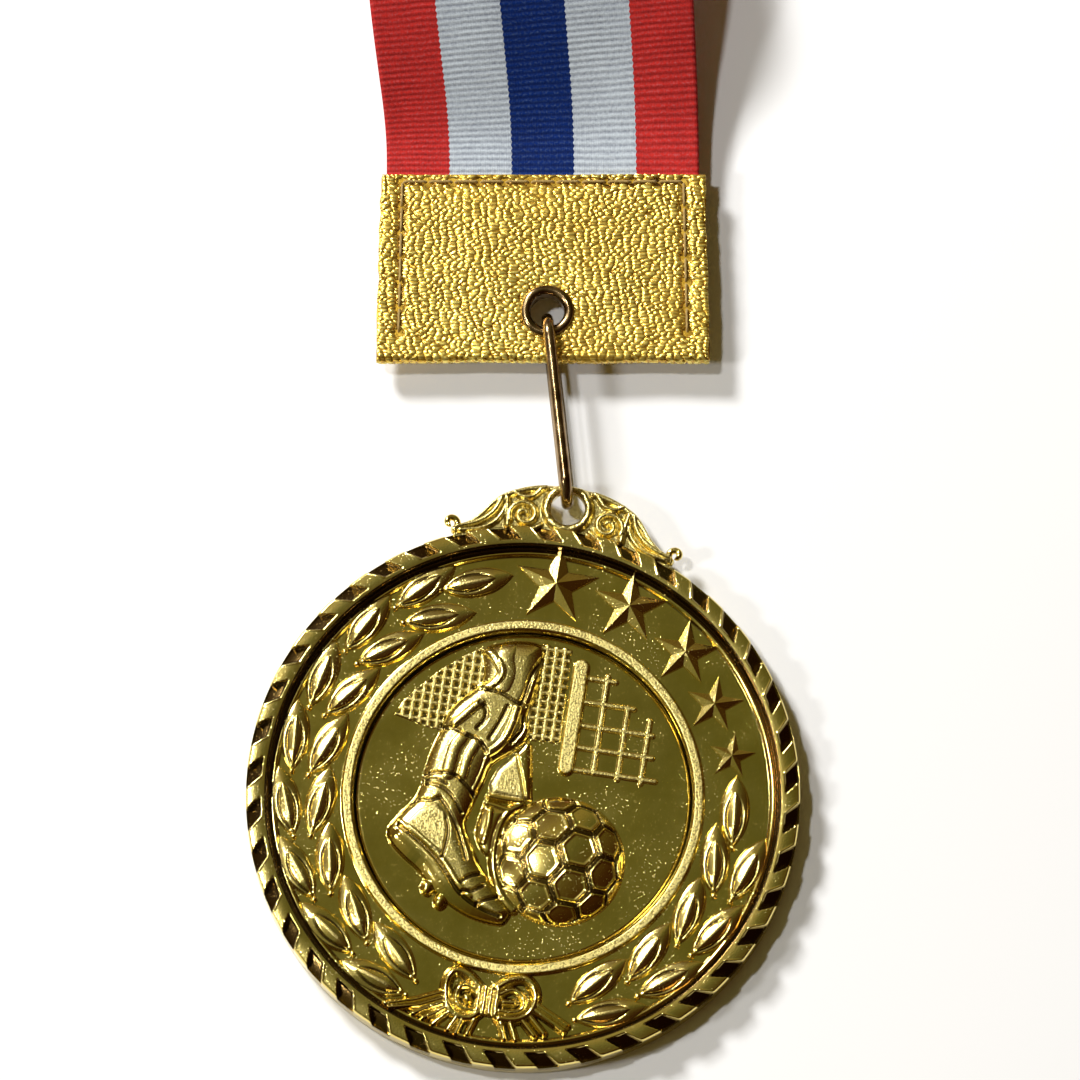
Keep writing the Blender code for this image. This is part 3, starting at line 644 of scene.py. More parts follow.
def bow_height(x, y):
    """Height of a tied bow: rolled loops, a ribbed knot and spread tails."""
    level = np.zeros(x.shape)
    for path in BOW_TAILS:
        d = path_distance(x, y, path)
        level = np.maximum(level, 0.35 * step(0.58, 0.40, d) + 0.5 * (1 - (d / 0.40) ** 2).clip(0, 1))
    for path, wide, tall in BOW_LOOPS:
        d = path_distance(x, y, smooth_chain(path, parts=5))
        roll = (1 - (d / wide) ** 2).clip(0, 1)
        level = np.maximum(level, 0.3 * step(wide + 0.2, wide, d) + (tall - 0.3) * roll)
    from_x, from_y = x - KNOT[0], y - KNOT[1]
    knot = np.maximum(np.abs(from_x) / KNOT_HALF[0], np.abs(from_y) / KNOT_HALF[1])
    ribs = 0.75 + 0.35 * np.abs(np.sin(from_x * pi / KNOT_RIB)) ** 0.7
    return np.maximum(1.15 * level, step(1.0, 0.88, knot) * ribs)


def bow(gold):
    x, y = np.meshgrid(np.arange(-13.2, 10.2, BOW_GRID), np.arange(-29.7, -20.6, BOW_GRID))
    height = bow_height(x, y)
    quads = grid_faces(*x.shape)
    quads = quads[(height.ravel()[quads] > 0.002).any(1)]
    points = np.stack([x, y, FIELD_Z - 0.03 + height], -1).reshape(-1, 3)
    # painted shade on the low parts between the loops, knot and tails
    masks = {"stipple": np.full(len(points), 0.12), "shade_and_tone": (0.7 * step(0.42, 0.15, height)).ravel()}
    return drop_loose(mesh_piece("tied_bow", points, [quads], gold, attributes=masks))


GADROONS = 40                 # slanted notches round the border
NOTCH_SHARE, NOTCH_SLANT = 0.52, radians(1.6)
BORDER_FOOT, NOTCH_FOOT = 29.98, 30.8
WIRE_LINE_R = 29.35


def notch_phase(r, theta):
    """0 to 1 from one slanted notch to the next; the notch itself ends at NOTCH_SHARE."""
    return (GADROONS * (theta - (r - 30.85) * NOTCH_SLANT) / (2 * pi)) % 1.0


def disc_relief(r, theta):
    """(height, stipple, painted shade) of the casting's face, from the ring outwards."""
    ring = step(RING_OUT, RING_OUT - 0.18, r)
    bevel = 0.62 + 0.38 * np.clip((r - RING_IN) / 0.30, 0, 1)
    wire = ridge(r - WIRE_LINE_R, 0.36) * 0.50
    height = FIELD_Z + np.maximum((RING_Z - FIELD_Z) * ring * bevel, wire)

    phase = notch_phase(r, theta)
    soft = 0.028
    opening = step(0, soft, phase) * step(NOTCH_SHARE, NOTCH_SHARE - soft, phase) * step(30.72, 30.86, r)
    outward = np.clip((r - NOTCH_FOOT) / 1.7, 0, 1)
    notch_depth = 0.55 + 0.65 * outward - 0.35 * phase / NOTCH_SHARE
    band = BORDER_Z - 0.05 - 0.10 * ((r - 31.2) / 1.2) ** 2 - notch_depth * opening
    inner_edge = step(BORDER_FOOT, 30.2, r)
    border = (FIELD_Z + 0.6) * (1 - inner_edge) + band * inner_edge - 0.30 * step(32.3, DISC_R, r)
    height = np.where(r > BORDER_FOOT, border, height)
    from_edge = np.minimum(phase, np.abs(phase - NOTCH_SHARE))
    height += 0.07 * np.exp(-(from_edge / 0.03) ** 2) * (r > NOTCH_FOOT) * (r < 32.3)

    stipple = step(RING_OUT - 0.1, RING_OUT - 0.25, r) * step(RING_IN + 0.22, RING_IN + 0.34, r)
    stipple = np.where(r > 30.2, 0.22, stipple)
    stipple = np.maximum(stipple, 0.12 * step(28.95, 29.1, r) * step(30.2, 30.0, r))
    # painted shade: a dark line inside the wire, a dark band between the wire and the border, and dark notch
    # floors
    shade_and_tone = 0.5 * step(28.75, 28.9, r) * step(29.1, 28.95, r)
    shade_and_tone = np.maximum(shade_and_tone, 0.95 * step(29.66, 29.78, r) * step(30.38, 30.28, r))
    shade_and_tone = np.maximum(shade_and_tone, 0.9 * opening * (r > 30.3))
    return height, stipple, shade_and_tone


def medal_disc(gold):
    """The relief face, closed by a turned wall, back and pocket."""
    turns, rings = 2200, 150
    theta = np.linspace(0, 2 * pi, turns, endpoint=False)
    r, a = np.meshgrid(np.linspace(RING_IN, DISC_R, rings), theta, indexing="ij")
    height, stipple, shade_and_tone = disc_relief(r, a)
    face = np.stack([-r * np.sin(a), r * np.cos(a), height], -1).reshape(-1, 3)

    def rows(profile):
        made = [np.stack([-radius * np.sin(theta), radius * np.cos(theta), np.full(turns, z)], -1)
                for radius, z in profile]
        return np.concatenate(made)

    outside = rows([(DISC_R, 3.2), (DISC_R - 0.02, 1.6), (DISC_R, 0.5), (DISC_R - 0.14, 0.14),
                    (DISC_R - 0.5, 0.0)] + [(radius, 0.0) for radius in (28.0, 20.0, 10.0, 2.0)])
    inside = rows([(RING_IN, 1.8), (RING_IN, POCKET_Z), (12.0, POCKET_Z), (2.0, POCKET_Z)])
    points = np.concatenate([face, outside, inside, [[0, 0, 0], [0, 0, POCKET_Z]]])
    start_out = len(face)
    start_in = start_out + len(outside)
    back_centre, pocket_centre = len(points) - 2, len(points) - 1
    k = np.arange(turns)
    after = (k + 1) % turns

    def join(a, b):
        return np.stack([a + after, a + k, b + k, b + after], -1)

    def fan(row, centre):
        return np.stack([row + k, np.full(turns, centre), row + after], -1)

    faces = [flipped(grid_faces(rings, turns, 0, True)), join((rings - 1) * turns, start_out),
             flipped(grid_faces(len(outside) // turns, turns, start_out, True)), join(start_in, 0),
             grid_faces(len(inside) // turns, turns, start_in, True),
             fan(start_in - turns, back_centre), fan(back_centre - turns, pocket_centre)]
    rest = np.zeros(len(points) - len(face))
    masks = {"stipple": np.concatenate([stipple.ravel(), rest]),
             "shade_and_tone": np.concatenate([shade_and_tone.ravel(), rest])}
    return fix_normals(mesh_piece("disc_relief", points, faces, gold, attributes=masks))


# ---------------------------------------------------------------- crest

CREST_TOP = ((0, 37.75), (3.0, 37.6), (5.3, 37.0), (7.6, 35.9), (8.9, 34.7), (10.1, 33.1), (11.4, 31.9),
             (12.9, 31.2))
CREST_HALF_WIDTH, CREST_GROUND, CREST_LOW, EAR_LOW = 12.9, 3.0, 0.8, 2.35
# Scrolls of the right half: (path, half width, height)
SCROLLS = (
    ([(7.9, 35.2), (8.3, 33.9), (9.2, 32.7), (10.6, 31.7), (12.6, 31.0)], 0.42, 0.9),
    ([(7.2, 34.9), (7.6, 33.3), (8.5, 32.0), (10.0, 31.1), (12.2, 30.6)], 0.36, 0.75),
    ([(6.75, 32.0), (6.95, 33.4), (7.25, 35.2)], 0.42, 0.85),
    ([(3.4, 36.9), (4.3, 35.9), (5.6, 35.7), (6.5, 36.2)], 0.40, 0.8),
    ([(2.9, 32.6), (3.6, 32.1), (4.4, 31.8)], 0.32, 0.6),
)


def crest_spiral(t):
    """Point of the crest's inner spiral, from t = 0 outside to 1 inside."""
    turn = -0.5 + 2 * pi * 1.45 * t
    return 4.95 + (1.85 - 1.5 * t) * cos(turn), 33.55 + (1.75 - 1.4 * t) * sin(turn)


def crest_relief(x, y):
    """Height of the scrollwork above the crest's ground."""
    ax = np.abs(x)
    lumps = 0.06 * value_noise(x * 2.2, y * 2.2, 8)
    height = (0.95 + lumps) * ridge(np.hypot(x - HOLE[0], y - HOLE[1]) - 2.5, 0.62)
    spiral = [crest_spiral(t) for t in np.linspace(0, 1, 40)]
    height = np.maximum(height, 0.9 * ridge(path_distance(ax, y, spiral), 0.40))
    top = smooth_chain([(x0, y0 - 0.45) for x0, y0 in CREST_TOP[1:]])
    height = np.maximum(height, 0.75 * ridge(path_distance(ax, y, top), 0.48))
    for path, wide, tall in SCROLLS:
        height = np.maximum(height, tall * ridge(path_distance(ax, y, smooth_chain(path)), wide))
    return height


def grid_rim(rows, columns):
    """Point numbers round the edge of a grid."""
    last = (rows - 1) * columns
    return np.concatenate([np.arange(columns), np.arange(1, rows) * columns + columns - 1,
                           last + np.arange(columns - 2, -1, -1), np.arange(rows - 2, 0, -1) * columns])


def drill(piece, centre, radius):
    """Cuts a round hole through the piece."""
    bit = bmesh.new()
    bmesh.ops.create_cone(bit, cap_ends=True, segments=72, radius1=radius * MM, radius2=radius * MM,
                          depth=0.02, matrix=Matrix.Translation((centre[0] * MM, centre[1] * MM, 0.0)))
    bit_mesh = bpy.data.meshes.new("drill")
    bit.to_mesh(bit_mesh)
    bit.free()
    cutter = place_in_scene("drill", bit_mesh)
    cut = piece.modifiers.new("hole", "BOOLEAN")
    cut.operation = "DIFFERENCE"
    cut.object = cutter
    cut.solver = "EXACT"
    evaluated = piece.evaluated_get(bpy.context.evaluated_depsgraph_get())
    done = bpy.data.meshes.new_from_object(evaluated)
    piece.modifiers.clear()
    piece.data = done
    bpy.data.objects.remove(cutter)
    return piece


def crest_plate(gold):
    columns, rows = 261, 78
    xs = np.linspace(-CREST_HALF_WIDTH, CREST_HALF_WIDTH, columns)
    outline = np.array(smooth_chain(CREST_TOP, parts=10))
    tops = np.interp(np.abs(xs), outline[:, 0], outline[:, 1])
    feet = np.minimum(np.sqrt(31.6 ** 2 - xs ** 2), tops - 0.5)
    share = np.linspace(0, 1, rows)[:, None]
    x = np.repeat(xs[None, :], rows, 0)
    y = feet[None, :] * (1 - share) + tops[None, :] * share
    edge = np.minimum(tops[None, :] - y, CREST_HALF_WIDTH + 0.2 - np.abs(x))
    height = CREST_GROUND + np.minimum(crest_relief(x, y), 1.0) - 0.55 * step(0.28, 0.0, edge)
    ear = step(4.3, 3.7, np.hypot(x, y - 36.0))
    under = CREST_LOW + (EAR_LOW - CREST_LOW) * ear
    upper = np.stack([x, y, height], -1).reshape(-1, 3)
    lower = np.stack([x, y, under], -1).reshape(-1, 3)
    n = len(upper)
    rim = grid_rim(rows, columns)
    after = np.roll(rim, -1)
    faces = [grid_faces(rows, columns), flipped(grid_faces(rows, columns, n)),
             np.stack([after, rim, rim + n, after + n], -1)]
    # painted shade on the low ground between the scrolls
    dark = 0.25 * step(0.4, 0.1, height - CREST_GROUND) * (edge > 0.3)
    masks = {"stipple": np.full(2 * n, 0.8), "shade_and_tone": np.concatenate([dark.ravel(), np.zeros(n)])}
    plate = mesh_piece("crest_scrollwork", np.concatenate([upper, lower]), faces, gold, attributes=masks)
    return drill(fix_normals(plate), HOLE, HOLE_R)


def swept(name, path, radii, material, sides, closed=False):
    """A round tube along a path of 3-D points in millimetres, with a radius at each."""
    path = np.asarray(path, float)
    count = len(path)
    radii = np.broadcast_to(np.asarray(radii, float), (count,))
    tangent = np.roll(path, -1, 0) - np.roll(path, 1, 0) if closed else np.gradient(path, axis=0)
    tangent /= np.linalg.norm(tangent, axis=1)[:, None]
    seed = np.array([0.0, 0.0, 1.0]) if abs(tangent[0][2]) < 0.9 else np.array([1.0, 0.0, 0.0])
    normal = np.cross(tangent[0], seed)
    frames = []
    for way in tangent:
        normal = normal - way * (normal @ way)
        normal /= np.linalg.norm(normal)
        frames.append((normal.copy(), np.cross(way, normal)))
    twist = 0.0
    if closed:
        # spread the twist that is left over the whole loop
        first_normal, first_side = frames[0]
        last = normal - tangent[0] * (normal @ tangent[0])
        twist = np.arctan2(last @ first_side, last @ first_normal)
    turn = np.linspace(0, 2 * pi, sides, endpoint=False)
    rings = []
    for k, (point, (normal, side)) in enumerate(zip(path, frames)):
        a = turn - twist * k / count
        rings.append(point + radii[k] * (np.cos(a)[:, None] * normal + np.sin(a)[:, None] * side))
    points = np.concatenate(rings)
    faces = [grid_faces(count, sides, 0, True)]
    j = np.arange(sides)
    after = (j + 1) % sides
    end = (count - 1) * sides
    if closed:
        faces.append(np.stack([end + j, end + after, after, j], -1))
    else:
        points = np.concatenate([points, path[:1], path[-1:]])
        faces.append(np.stack([after, j, np.full(sides, len(points) - 2)], -1))
        faces.append(np.stack([end + j, end + after, np.full(sides, len(points) - 1)], -1))
    return fix_normals(mesh_piece(name, points, faces, material))


CURL_AT, CURL_Z = (13.4, 31.35), 2.9


def crest_curl(name, side, gold):
    """The rolled end of one side of the crest: a tapered stem that runs into a spiral."""
    stem, spiral = np.linspace(0, 0.94, 24), np.linspace(0, 1, 60)
    path = [(side * (10.2 + 2.85 * t), 31.8 - 1.35 * t + 0.1 * sin(pi * t), 2.7 + 0.15 * t) for t in stem]
    for t in spiral:
        a = -1.9 - 2 * pi * 0.95 * t
        r = 0.95 - 0.72 * t
        path.append((side * (CURL_AT[0] + r * cos(a)), CURL_AT[1] + r * sin(a), CURL_Z + 0.35 * t))
    radii = np.concatenate([0.25 + 0.17 * np.linspace(0, 1, 24), 0.42 - 0.08 * spiral])
    return swept(name, path, radii, gold, sides=16)


# ---------------------------------------------------------------- centre insert

BALL_AT, BALL_R, BALL_TALL, BALL_PANEL = (5.3, -6.9), 7.7, 2.4, 4.75


def football(x, y):
    """(height, stipple, groove) of the half-sunk ball with its six-sided panels."""
    px, py = (x - BALL_AT[0]) / BALL_R, (y - BALL_AT[1]) / BALL_R
    rho = np.hypot(px, py)
    around = np.arcsin(np.clip(rho, 0, 1)) / np.maximum(rho, 1e-6) * BALL_R
    u, v = px * around + 1.95, py * around + 0.55
    first, second = np.full(x.shape, 99.0), np.full(x.shape, 99.0)
    turn = radians(25.5)
    for i in range(-4, 5):
        for j in range(-4, 5):
            a, b = (i + j / 2) * BALL_PANEL, j * BALL_PANEL * sqrt(3) / 2
            d = np.hypot(u - a * cos(turn) + b * sin(turn), v - a * sin(turn) - b * cos(turn))
            second = np.where(d < first, first, np.minimum(second, d))
            first = np.minimum(first, d)
    seam = (second - first) / 2
    groove = step(0.42, 0.12, seam)
    dome = BALL_TALL * np.clip(1 - rho ** 2, 0, 1) ** 0.55 - 0.30 * groove * (rho < 0.97)
    dome += 0.10 * np.exp(-((seam - 0.55) / 0.16) ** 2) * (rho < 0.96)
    dome += 0.22 * np.exp(-(seam / 0.10) ** 2) * (rho < 0.97)
    return np.where(rho < 1, dome, 0.0), 0.12 * (rho < 1), groove * (rho < 1)


# Outline of the front leg: shorts, knee, sock and boot
LEG = [(-7.4, 16.9), (-5.4, 18.0), (-3.1, 18.6), (-0.7, 18.5), (0.0, 16.9), (0.0, 14.7), (-0.1, 12.2),
       (-0.7, 10.6), (-0.8, 9.4), (-0.3, 8.1), (-0.7, 6.6), (-2.1, 5.2), (-3.7, 3.9), (-4.4, 2.9),
       (-4.8, 1.1), (-5.4, -0.8), (-5.9, -2.8), (-6.2, -4.1), (-5.5, -5.7), (-4.5, -7.4), (-3.6, -8.9),
       (-2.4, -10.2), (-1.3, -11.4), (-0.3, -12.5), (0.6, -13.5), (0.6, -14.4), (-0.1, -15.4),
       (-1.6, -15.5), (-4.1, -15.1), (-6.3, -14.2), (-7.9, -13.3), (-9.3, -12.2), (-10.9, -10.5),
       (-12.7, -9.3), (-14.3, -8.0), (-15.0, -7.0), (-15.1, -5.8), (-14.5, -4.7), (-13.6, -3.3),
       (-12.6, -2.0), (-12.1, -0.4), (-11.9, 1.6), (-11.6, 3.7), (-11.1, 5.6), (-10.8, 6.6),
       (-10.8, 7.6), (-10.1, 9.4), (-9.1, 10.8), (-7.9, 12.0), (-7.0, 13.1), (-7.0, 14.8)]
# Creases and folds of the front leg: (points, half width, height)
LEG_LINES = (
    ([(-6.7, 12.1), (-4.5, 11.9), (-2.6, 11.1), (-1.5, 10.8)], 0.26, -0.3),
    ([(-6.8, 16.8), (-5.4, 15.5), (-4.7, 14.2), (-5.5, 12.9), (-6.5, 12.3)], 0.55, 0.38),
    ([(-4.4, 17.6), (-4.4, 15.9), (-4.0, 14.3), (-4.3, 12.8)], 0.9, 0.16),
    ([(-0.3, 16.6), (-1.2, 14.6), (-1.5, 12.7), (-1.9, 11.0)], 0.34, -0.34),
    ([(-0.2, 15.0), (-0.9, 13.2), (-1.1, 11.4)], 0.4, 0.2),
    ([(-9.3, 7.5), (-8.3, 8.5), (-7.3, 9.7), (-6.6, 10.3)], 0.55, 0.45),
    ([(-6.6, 10.3), (-5.8, 9.6), (-5.8, 8.4), (-6.5, 7.3)], 0.36, -0.25),
    ([(-2.2, 10.3), (-2.5, 8.5), (-3.1, 6.5), (-3.9, 5.3), (-4.8, 4.5)], 0.46, 0.36),
    ([(-3.4, 10.3), (-4.0, 8.4), (-4.9, 6.3)], 0.34, -0.22),
    ([(-1.5, 9.4), (-1.4, 7.8), (-2.4, 6.2)], 0.3, -0.2),
    ([(-10.8, 6.7), (-9.1, 6.9), (-7.9, 6.3), (-6.3, 6.0), (-5.0, 4.6)], 0.3, -0.42),
    ([(-9.1, 1.4), (-9.0, 2.9), (-8.7, 4.7), (-8.1, 5.8)], 0.8, 0.34),
    ([(-7.4, 1.4), (-7.1, 3.5), (-6.3, 5.6)], 0.6, 0.28),
    ([(-5.6, 0.0), (-5.1, 1.6), (-4.7, 3.7)], 0.45, 0.2),
    ([(-12.0, 0.8), (-10.1, 1.4), (-8.3, 1.3), (-6.9, 0.4), (-5.6, -0.9)], 0.28, -0.42),
    ([(-12.0, 0.2), (-10.4, 0.5), (-9.0, 0.1)], 0.22, -0.26),
    ([(-12.1, -0.3), (-10.6, -0.1), (-9.2, -0.5), (-7.9, -1.6), (-6.9, -3.0)], 0.26, -0.34),
    ([(-13.7, -3.1), (-12.2, -2.3), (-10.5, -2.0), (-9.6, -1.5)], 0.28, -0.4),
    ([(-9.5, -1.7), (-8.5, -2.8), (-7.5, -4.2), (-6.3, -6.5), (-5.5, -8.4)], 0.28, -0.36),
    ([(-8.5, -4.0), (-8.0, -5.5), (-8.1, -7.4), (-8.3, -8.6)], 0.24, -0.26),
    ([(-13.9, -5.6), (-12.5, -6.4), (-10.7, -7.5), (-9.1, -8.8), (-7.7, -10.2), (-6.2, -12.0),
      (-4.6, -13.2), (-2.5, -14.1), (-0.6, -14.5)], 0.26, -0.45),
    ([(-13.8, -5.1), (-12.3, -5.9), (-10.4, -7.1), (-8.7, -8.3), (-7.2, -9.9), (-5.8, -11.6),
      (-4.3, -12.8)], 0.3, 0.22),
    ([(-5.7, -11.2), (-4.8, -10.4), (-3.7, -9.9)], 0.28, -0.36),
    ([(-5.3, -12.3), (-4.1, -12.0), (-3.0, -11.2)], 0.28, -0.36),
    ([(-3.4, -13.5), (-2.3, -12.8), (-0.9, -12.2)], 0.28, -0.36),
)
SIDE_PANEL = [(-13.2, -5.2), (-11.8, -3.3), (-9.8, -2.3), (-8.7, -3.2), (-8.1, -5.2), (-8.2, -8.4),
              (-9.9, -7.7), (-11.9, -6.3)]
# Rear leg
CALF = [(-0.6, 7.0), (0.1, 6.4), (1.1, -0.2), (-0.3, -0.5), (-3.8, -0.2), (-4.2, 1.0), (-3.5, 3.0),
        (-2.2, 4.5), (-1.2, 5.9)]
CUFF_LINES = ([(-3.9, -0.4), (-2.1, -0.5), (-0.2, -0.5)], [(-4.1, -1.3), (-2.8, -1.5), (-1.4, -1.8)])
FOOT = [(-4.2, -1.4), (-1.5, -1.9), (-2.0, -3.2), (-2.4, -5.3), (-2.4, -7.2), (-3.4, -7.4),
        (-4.4, -6.3), (-4.9, -4.7), (-4.7, -2.7)]
BALL_SIDE = [(-0.1, -0.9), (-1.5, -2.1), (-2.2, -4.0), (-2.4, -6.5), (-2.1, -8.9), (-1.1, -11.2),
             (0.1, -12.7), (0.9, -13.4)]
STUDS = ((-9.4, -12.3), (-7.7, -13.7))
# Goal: two nets of fine mesh, and the wide mesh with its level bars (y, x end) and uprights (x, low, high)
NET_PITCH = 1.05
NETS = ([(-16.3, 7.7), (-15.6, 9.5), (-14.2, 11.2), (-11.9, 13.8), (-9.6, 15.7), (-7.4, 17.2),
         (-5.7, 14.4), (-7.0, 10.8), (-10.2, 6.6), (-12.8, 6.9)],
        [(-0.6, 18.6), (3.0, 18.5), (3.25, 7.2), (-1.0, 7.0), (-1.0, 10.3), (-0.6, 14.7)])
LEVEL_BARS = ((15.4, 8.7), (12.5, 11.3), (9.65, 13.9), (7.0, 14.25), (4.3, 15.0))
UPRIGHT_BARS = ((7.7, 4.2, 15.9), (10.6, 3.9, 12.6), (13.35, 3.8, 11.4))
BARS = [((5.2, y), (x, y)) for y, x in LEVEL_BARS] + [((x, low), (x, high)) for x, low, high in UPRIGHT_BARS]
POST = ((4.45, 4.35), (4.45, 16.55))
POST_HALF, MESH_TALL = 0.95, 0.45


def swollen(depth, reach, tall):
    """Round-shouldered height from the distance inside an outline."""
    return tall * np.sqrt(1 - (1 - np.clip(depth / reach, 0, 1)) ** 2)


class Layers:
    """Height, stipple and painted shade of the insert, where the highest shape wins."""

    def __init__(self, shape):
        self.height = np.full(shape, INSERT_Z)
        self.stipple, self.shade_and_tone = np.zeros(shape), np.zeros(shape)

    def put(self, rise, stipple=0.0, shade_and_tone=0.0):
        level = INSERT_Z + rise
        take = level > self.height + 1e-6
        self.stipple = np.where(take, stipple, self.stipple)
        self.shade_and_tone = np.where(take, shade_and_tone, self.shade_and_tone)
        self.height = np.maximum(self.height, level)


def goal(x, y, layers):
    for start, end in BARS:
        layers.put(MESH_TALL * step(0.32, 0.20, segment_distance(x, y, start, end)), 0.75)
    for outline in NETS:
        inside = inside_depth(x, y, outline)
        u, v = (x - 0.2) / NET_PITCH, (y - 0.3) / NET_PITCH
        du, dv = np.abs(u - np.round(u)) * NET_PITCH, np.abs(v - np.round(v)) * NET_PITCH
        cord = np.maximum(step(0.28, 0.16, du), step(0.28, 0.16, dv))
        layers.put(MESH_TALL * cord * (inside > 0), 0.8)
        # painted shade in the holes of the nets
        layers.shade_and_tone = np.maximum(layers.shade_and_tone, 0.6 * step(0.3, 0.1, cord) * (inside > 0.1))
    inward = POST_HALF - segment_distance(x, y, *POST)
    layers.put(step(0.0, 0.22, inward), step(0.1, 0.25, inward))


def rear_leg(x, y, layers):
    """Calf, sock cuff and foot behind the ball."""
    d = inside_depth(x, y, CALF)
    shin = ridge(path_distance(x, y, [(-1.5, 5.1), (-0.6, 2.6), (0.3, -0.2)]), 0.2)
    left_of_shin = step(0.25, -0.1, x + 1.5 - (5.1 - y) * 0.335)
    layers.put((swollen(d, 0.9, 0.62) - 0.3 * shin) * (d > 0), 0.9 * left_of_shin)
    for path in CUFF_LINES:
        layers.put(0.85 * ridge(path_distance(x, y, path), 0.42), 0.2)
    d = inside_depth(x, y, smooth_chain(FOOT, closed=True, parts=4))
    instep = 0.2 * ridge(path_distance(x, y, [(-3.5, -2.2), (-3.5, -4.0), (-3.8, -6.0)]), 0.35)
    layers.put(swollen(d, 1.0, 0.8) + instep * (d > 0.2), 0.15)
    # a little painted shade along the ball's edge
    layers.put(0.8 * ridge(path_distance(x, y, smooth_chain(BALL_SIDE)), 0.62), 0.0, 0.2)


def front_leg(x, y, layers):
    """Shorts, knee, sock and boot with its studs."""
    d = inside_depth(x, y, smooth_chain(LEG, closed=True, parts=3))
    surface = swollen(d, 2.3, 1.45)
    crease = np.zeros(x.shape)
    for path, wide, tall in LEG_LINES:
        line = ridge(path_distance(x, y, smooth_chain(path, parts=5)), wide)
        surface = surface + tall * step(0.05, 0.5, d) * line
        if tall < 0:
            crease = np.maximum(crease, 0.75 * line)
    panel = inside_depth(x, y, SIDE_PANEL)
    surface += 0.12 * step(0.0, 0.3, panel)
    boot = step(-0.2, -0.5, (y + 5.6) + 0.98 * (x + 13.9) * 0.72)
    matt = 0.55 * step(0.5, 1.2, d) * (1 - boot) + 0.4 * step(0, 0.2, panel)
    # painted shade in the creases and round the leg's outline
    layers.put(np.clip(surface, 0.02, 2.2) * (d > 0), matt, np.maximum(crease, 0.6 * step(0.35, 0.05, d)))
    for stud_x, stud_y in STUDS:
        layers.put(1.1 * ridge(np.hypot((x - stud_x) / 0.85, (y - stud_y) / 1.05), 1.0))


def insert_relief(x, y):
    """(height, stipple, painted shade) of the centre relief."""
    layers = Layers(x.shape)
    goal(x, y, layers)
    rear_leg(x, y, layers)
    front_leg(x, y, layers)
    rise, stipple, groove = football(x, y)
    # painted shade in the ball's seams
    layers.put(rise, stipple, groove * 0.75)
    return layers.height, layers.stipple, layers.shade_and_tone


def centre_relief(gold):
    """The relief on a fine square grid, inside a bevelled rim."""
    pitch, rim_r, turns = 0.075, INSERT_R - 0.3, 240
    line = np.arange(-rim_r, rim_r, pitch)
    x, y = np.meshgrid(line, line)
    height, stipple, shade_and_tone = insert_relief(x, y)
    quads = grid_faces(*x.shape)
    inside = (np.hypot(x, y) < rim_r).ravel()
    quads = quads[inside[quads].all(1)]
    grid = np.stack([x, y, height], -1).reshape(-1, 3)
    theta = np.linspace(0, 2 * pi, turns, endpoint=False)
    profile = [(rim_r - 0.3, INSERT_Z - 0.02), (INSERT_R - 0.2, INSERT_Z - 0.02), (INSERT_R, INSERT_Z - 0.18),
               (INSERT_R, INSERT_LOW), (INSERT_R / 2, INSERT_LOW)]
    rows = [np.stack([-radius * np.sin(theta), radius * np.cos(theta), np.full(turns, z)], -1)
            for radius, z in profile]
    points = np.concatenate([grid, *rows, [[0, 0, INSERT_LOW]]])
    k = np.arange(turns)
    last = len(points) - 1 - turns
    faces = [quads, flipped(grid_faces(len(profile), turns, len(grid), True)),
             np.stack([last + (k + 1) % turns, last + k, np.full(turns, len(points) - 1)], -1)]
    rest = np.zeros(len(points) - len(grid))
    masks = {"stipple": np.concatenate([stipple.ravel(), rest]),
             "shade_and_tone": np.concatenate([shade_and_tone.ravel(), rest])}
    return drop_loose(mesh_piece("insert_relief", points, faces, gold, attributes=masks))


# ---------------------------------------------------------------- link and eyelet

def wire_link(brass):
    """A closed loop on edge: two half-round ends joined by straight runs."""
    up = np.array([0.0, 0.0, 1.0])
    way = np.array([*LINK_DIR, 0.0])
    near = np.array([*FLAP, MID_Z])
    far = np.array([*(SWING - LINK_DIR * LINK_BEND_R), MID_Z])
    path = []
    for centre, other, sense in ((near, far, -1), (far, near, 1)):
        for a in np.linspace(-pi / 2, pi / 2, 33):
            path.append(centre + sense * (way * cos(a) + up * sin(a)) * LINK_BEND_R)
        start, end = path[-1], other + sense * up * LINK_BEND_R
        path += [start + (end - start) * k / 24 for k in range(1, 24)]
    return swept("wire_link", path, WIRE_R, brass, sides=28, closed=True)


LAYERS_HALF = 1.5 * LAYER_GAP + STRAP       # from the tab's middle to the leather's inside
FACE = LAYERS_HALF + LEATHER                # from the tab's middle to its outside
LIP_R, EYE_R = 0.60, 2.0


def turned_piece(name, profile, material, wobble=0.0):
    """A closed profile of (radius, height) points turned about the eyelet's axis, a little uneven on top."""
    turns = 96
    a = np.linspace(0, 2 * pi, turns, endpoint=False)
    rows = []
    for r, z in profile:
        lift = (z > 0.9) * wobble * (np.sin(3 * a + 0.7) + 0.6 * np.sin(5 * a + 2.1))
        out = r + lift * 0.6
        rows.append(np.stack([EYELET[0] + out * np.cos(a), EYELET[1] + out * np.sin(a),
                              MID_Z + z + lift * 0.5], -1))
    k = np.arange(turns)
    after = (k + 1) % turns
    last = (len(profile) - 1) * turns
    faces = [grid_faces(len(profile), turns, 0, True), np.stack([last + k, last + after, after, k], -1)]
    return fix_normals(mesh_piece(name, np.concatenate(rows), faces, material))


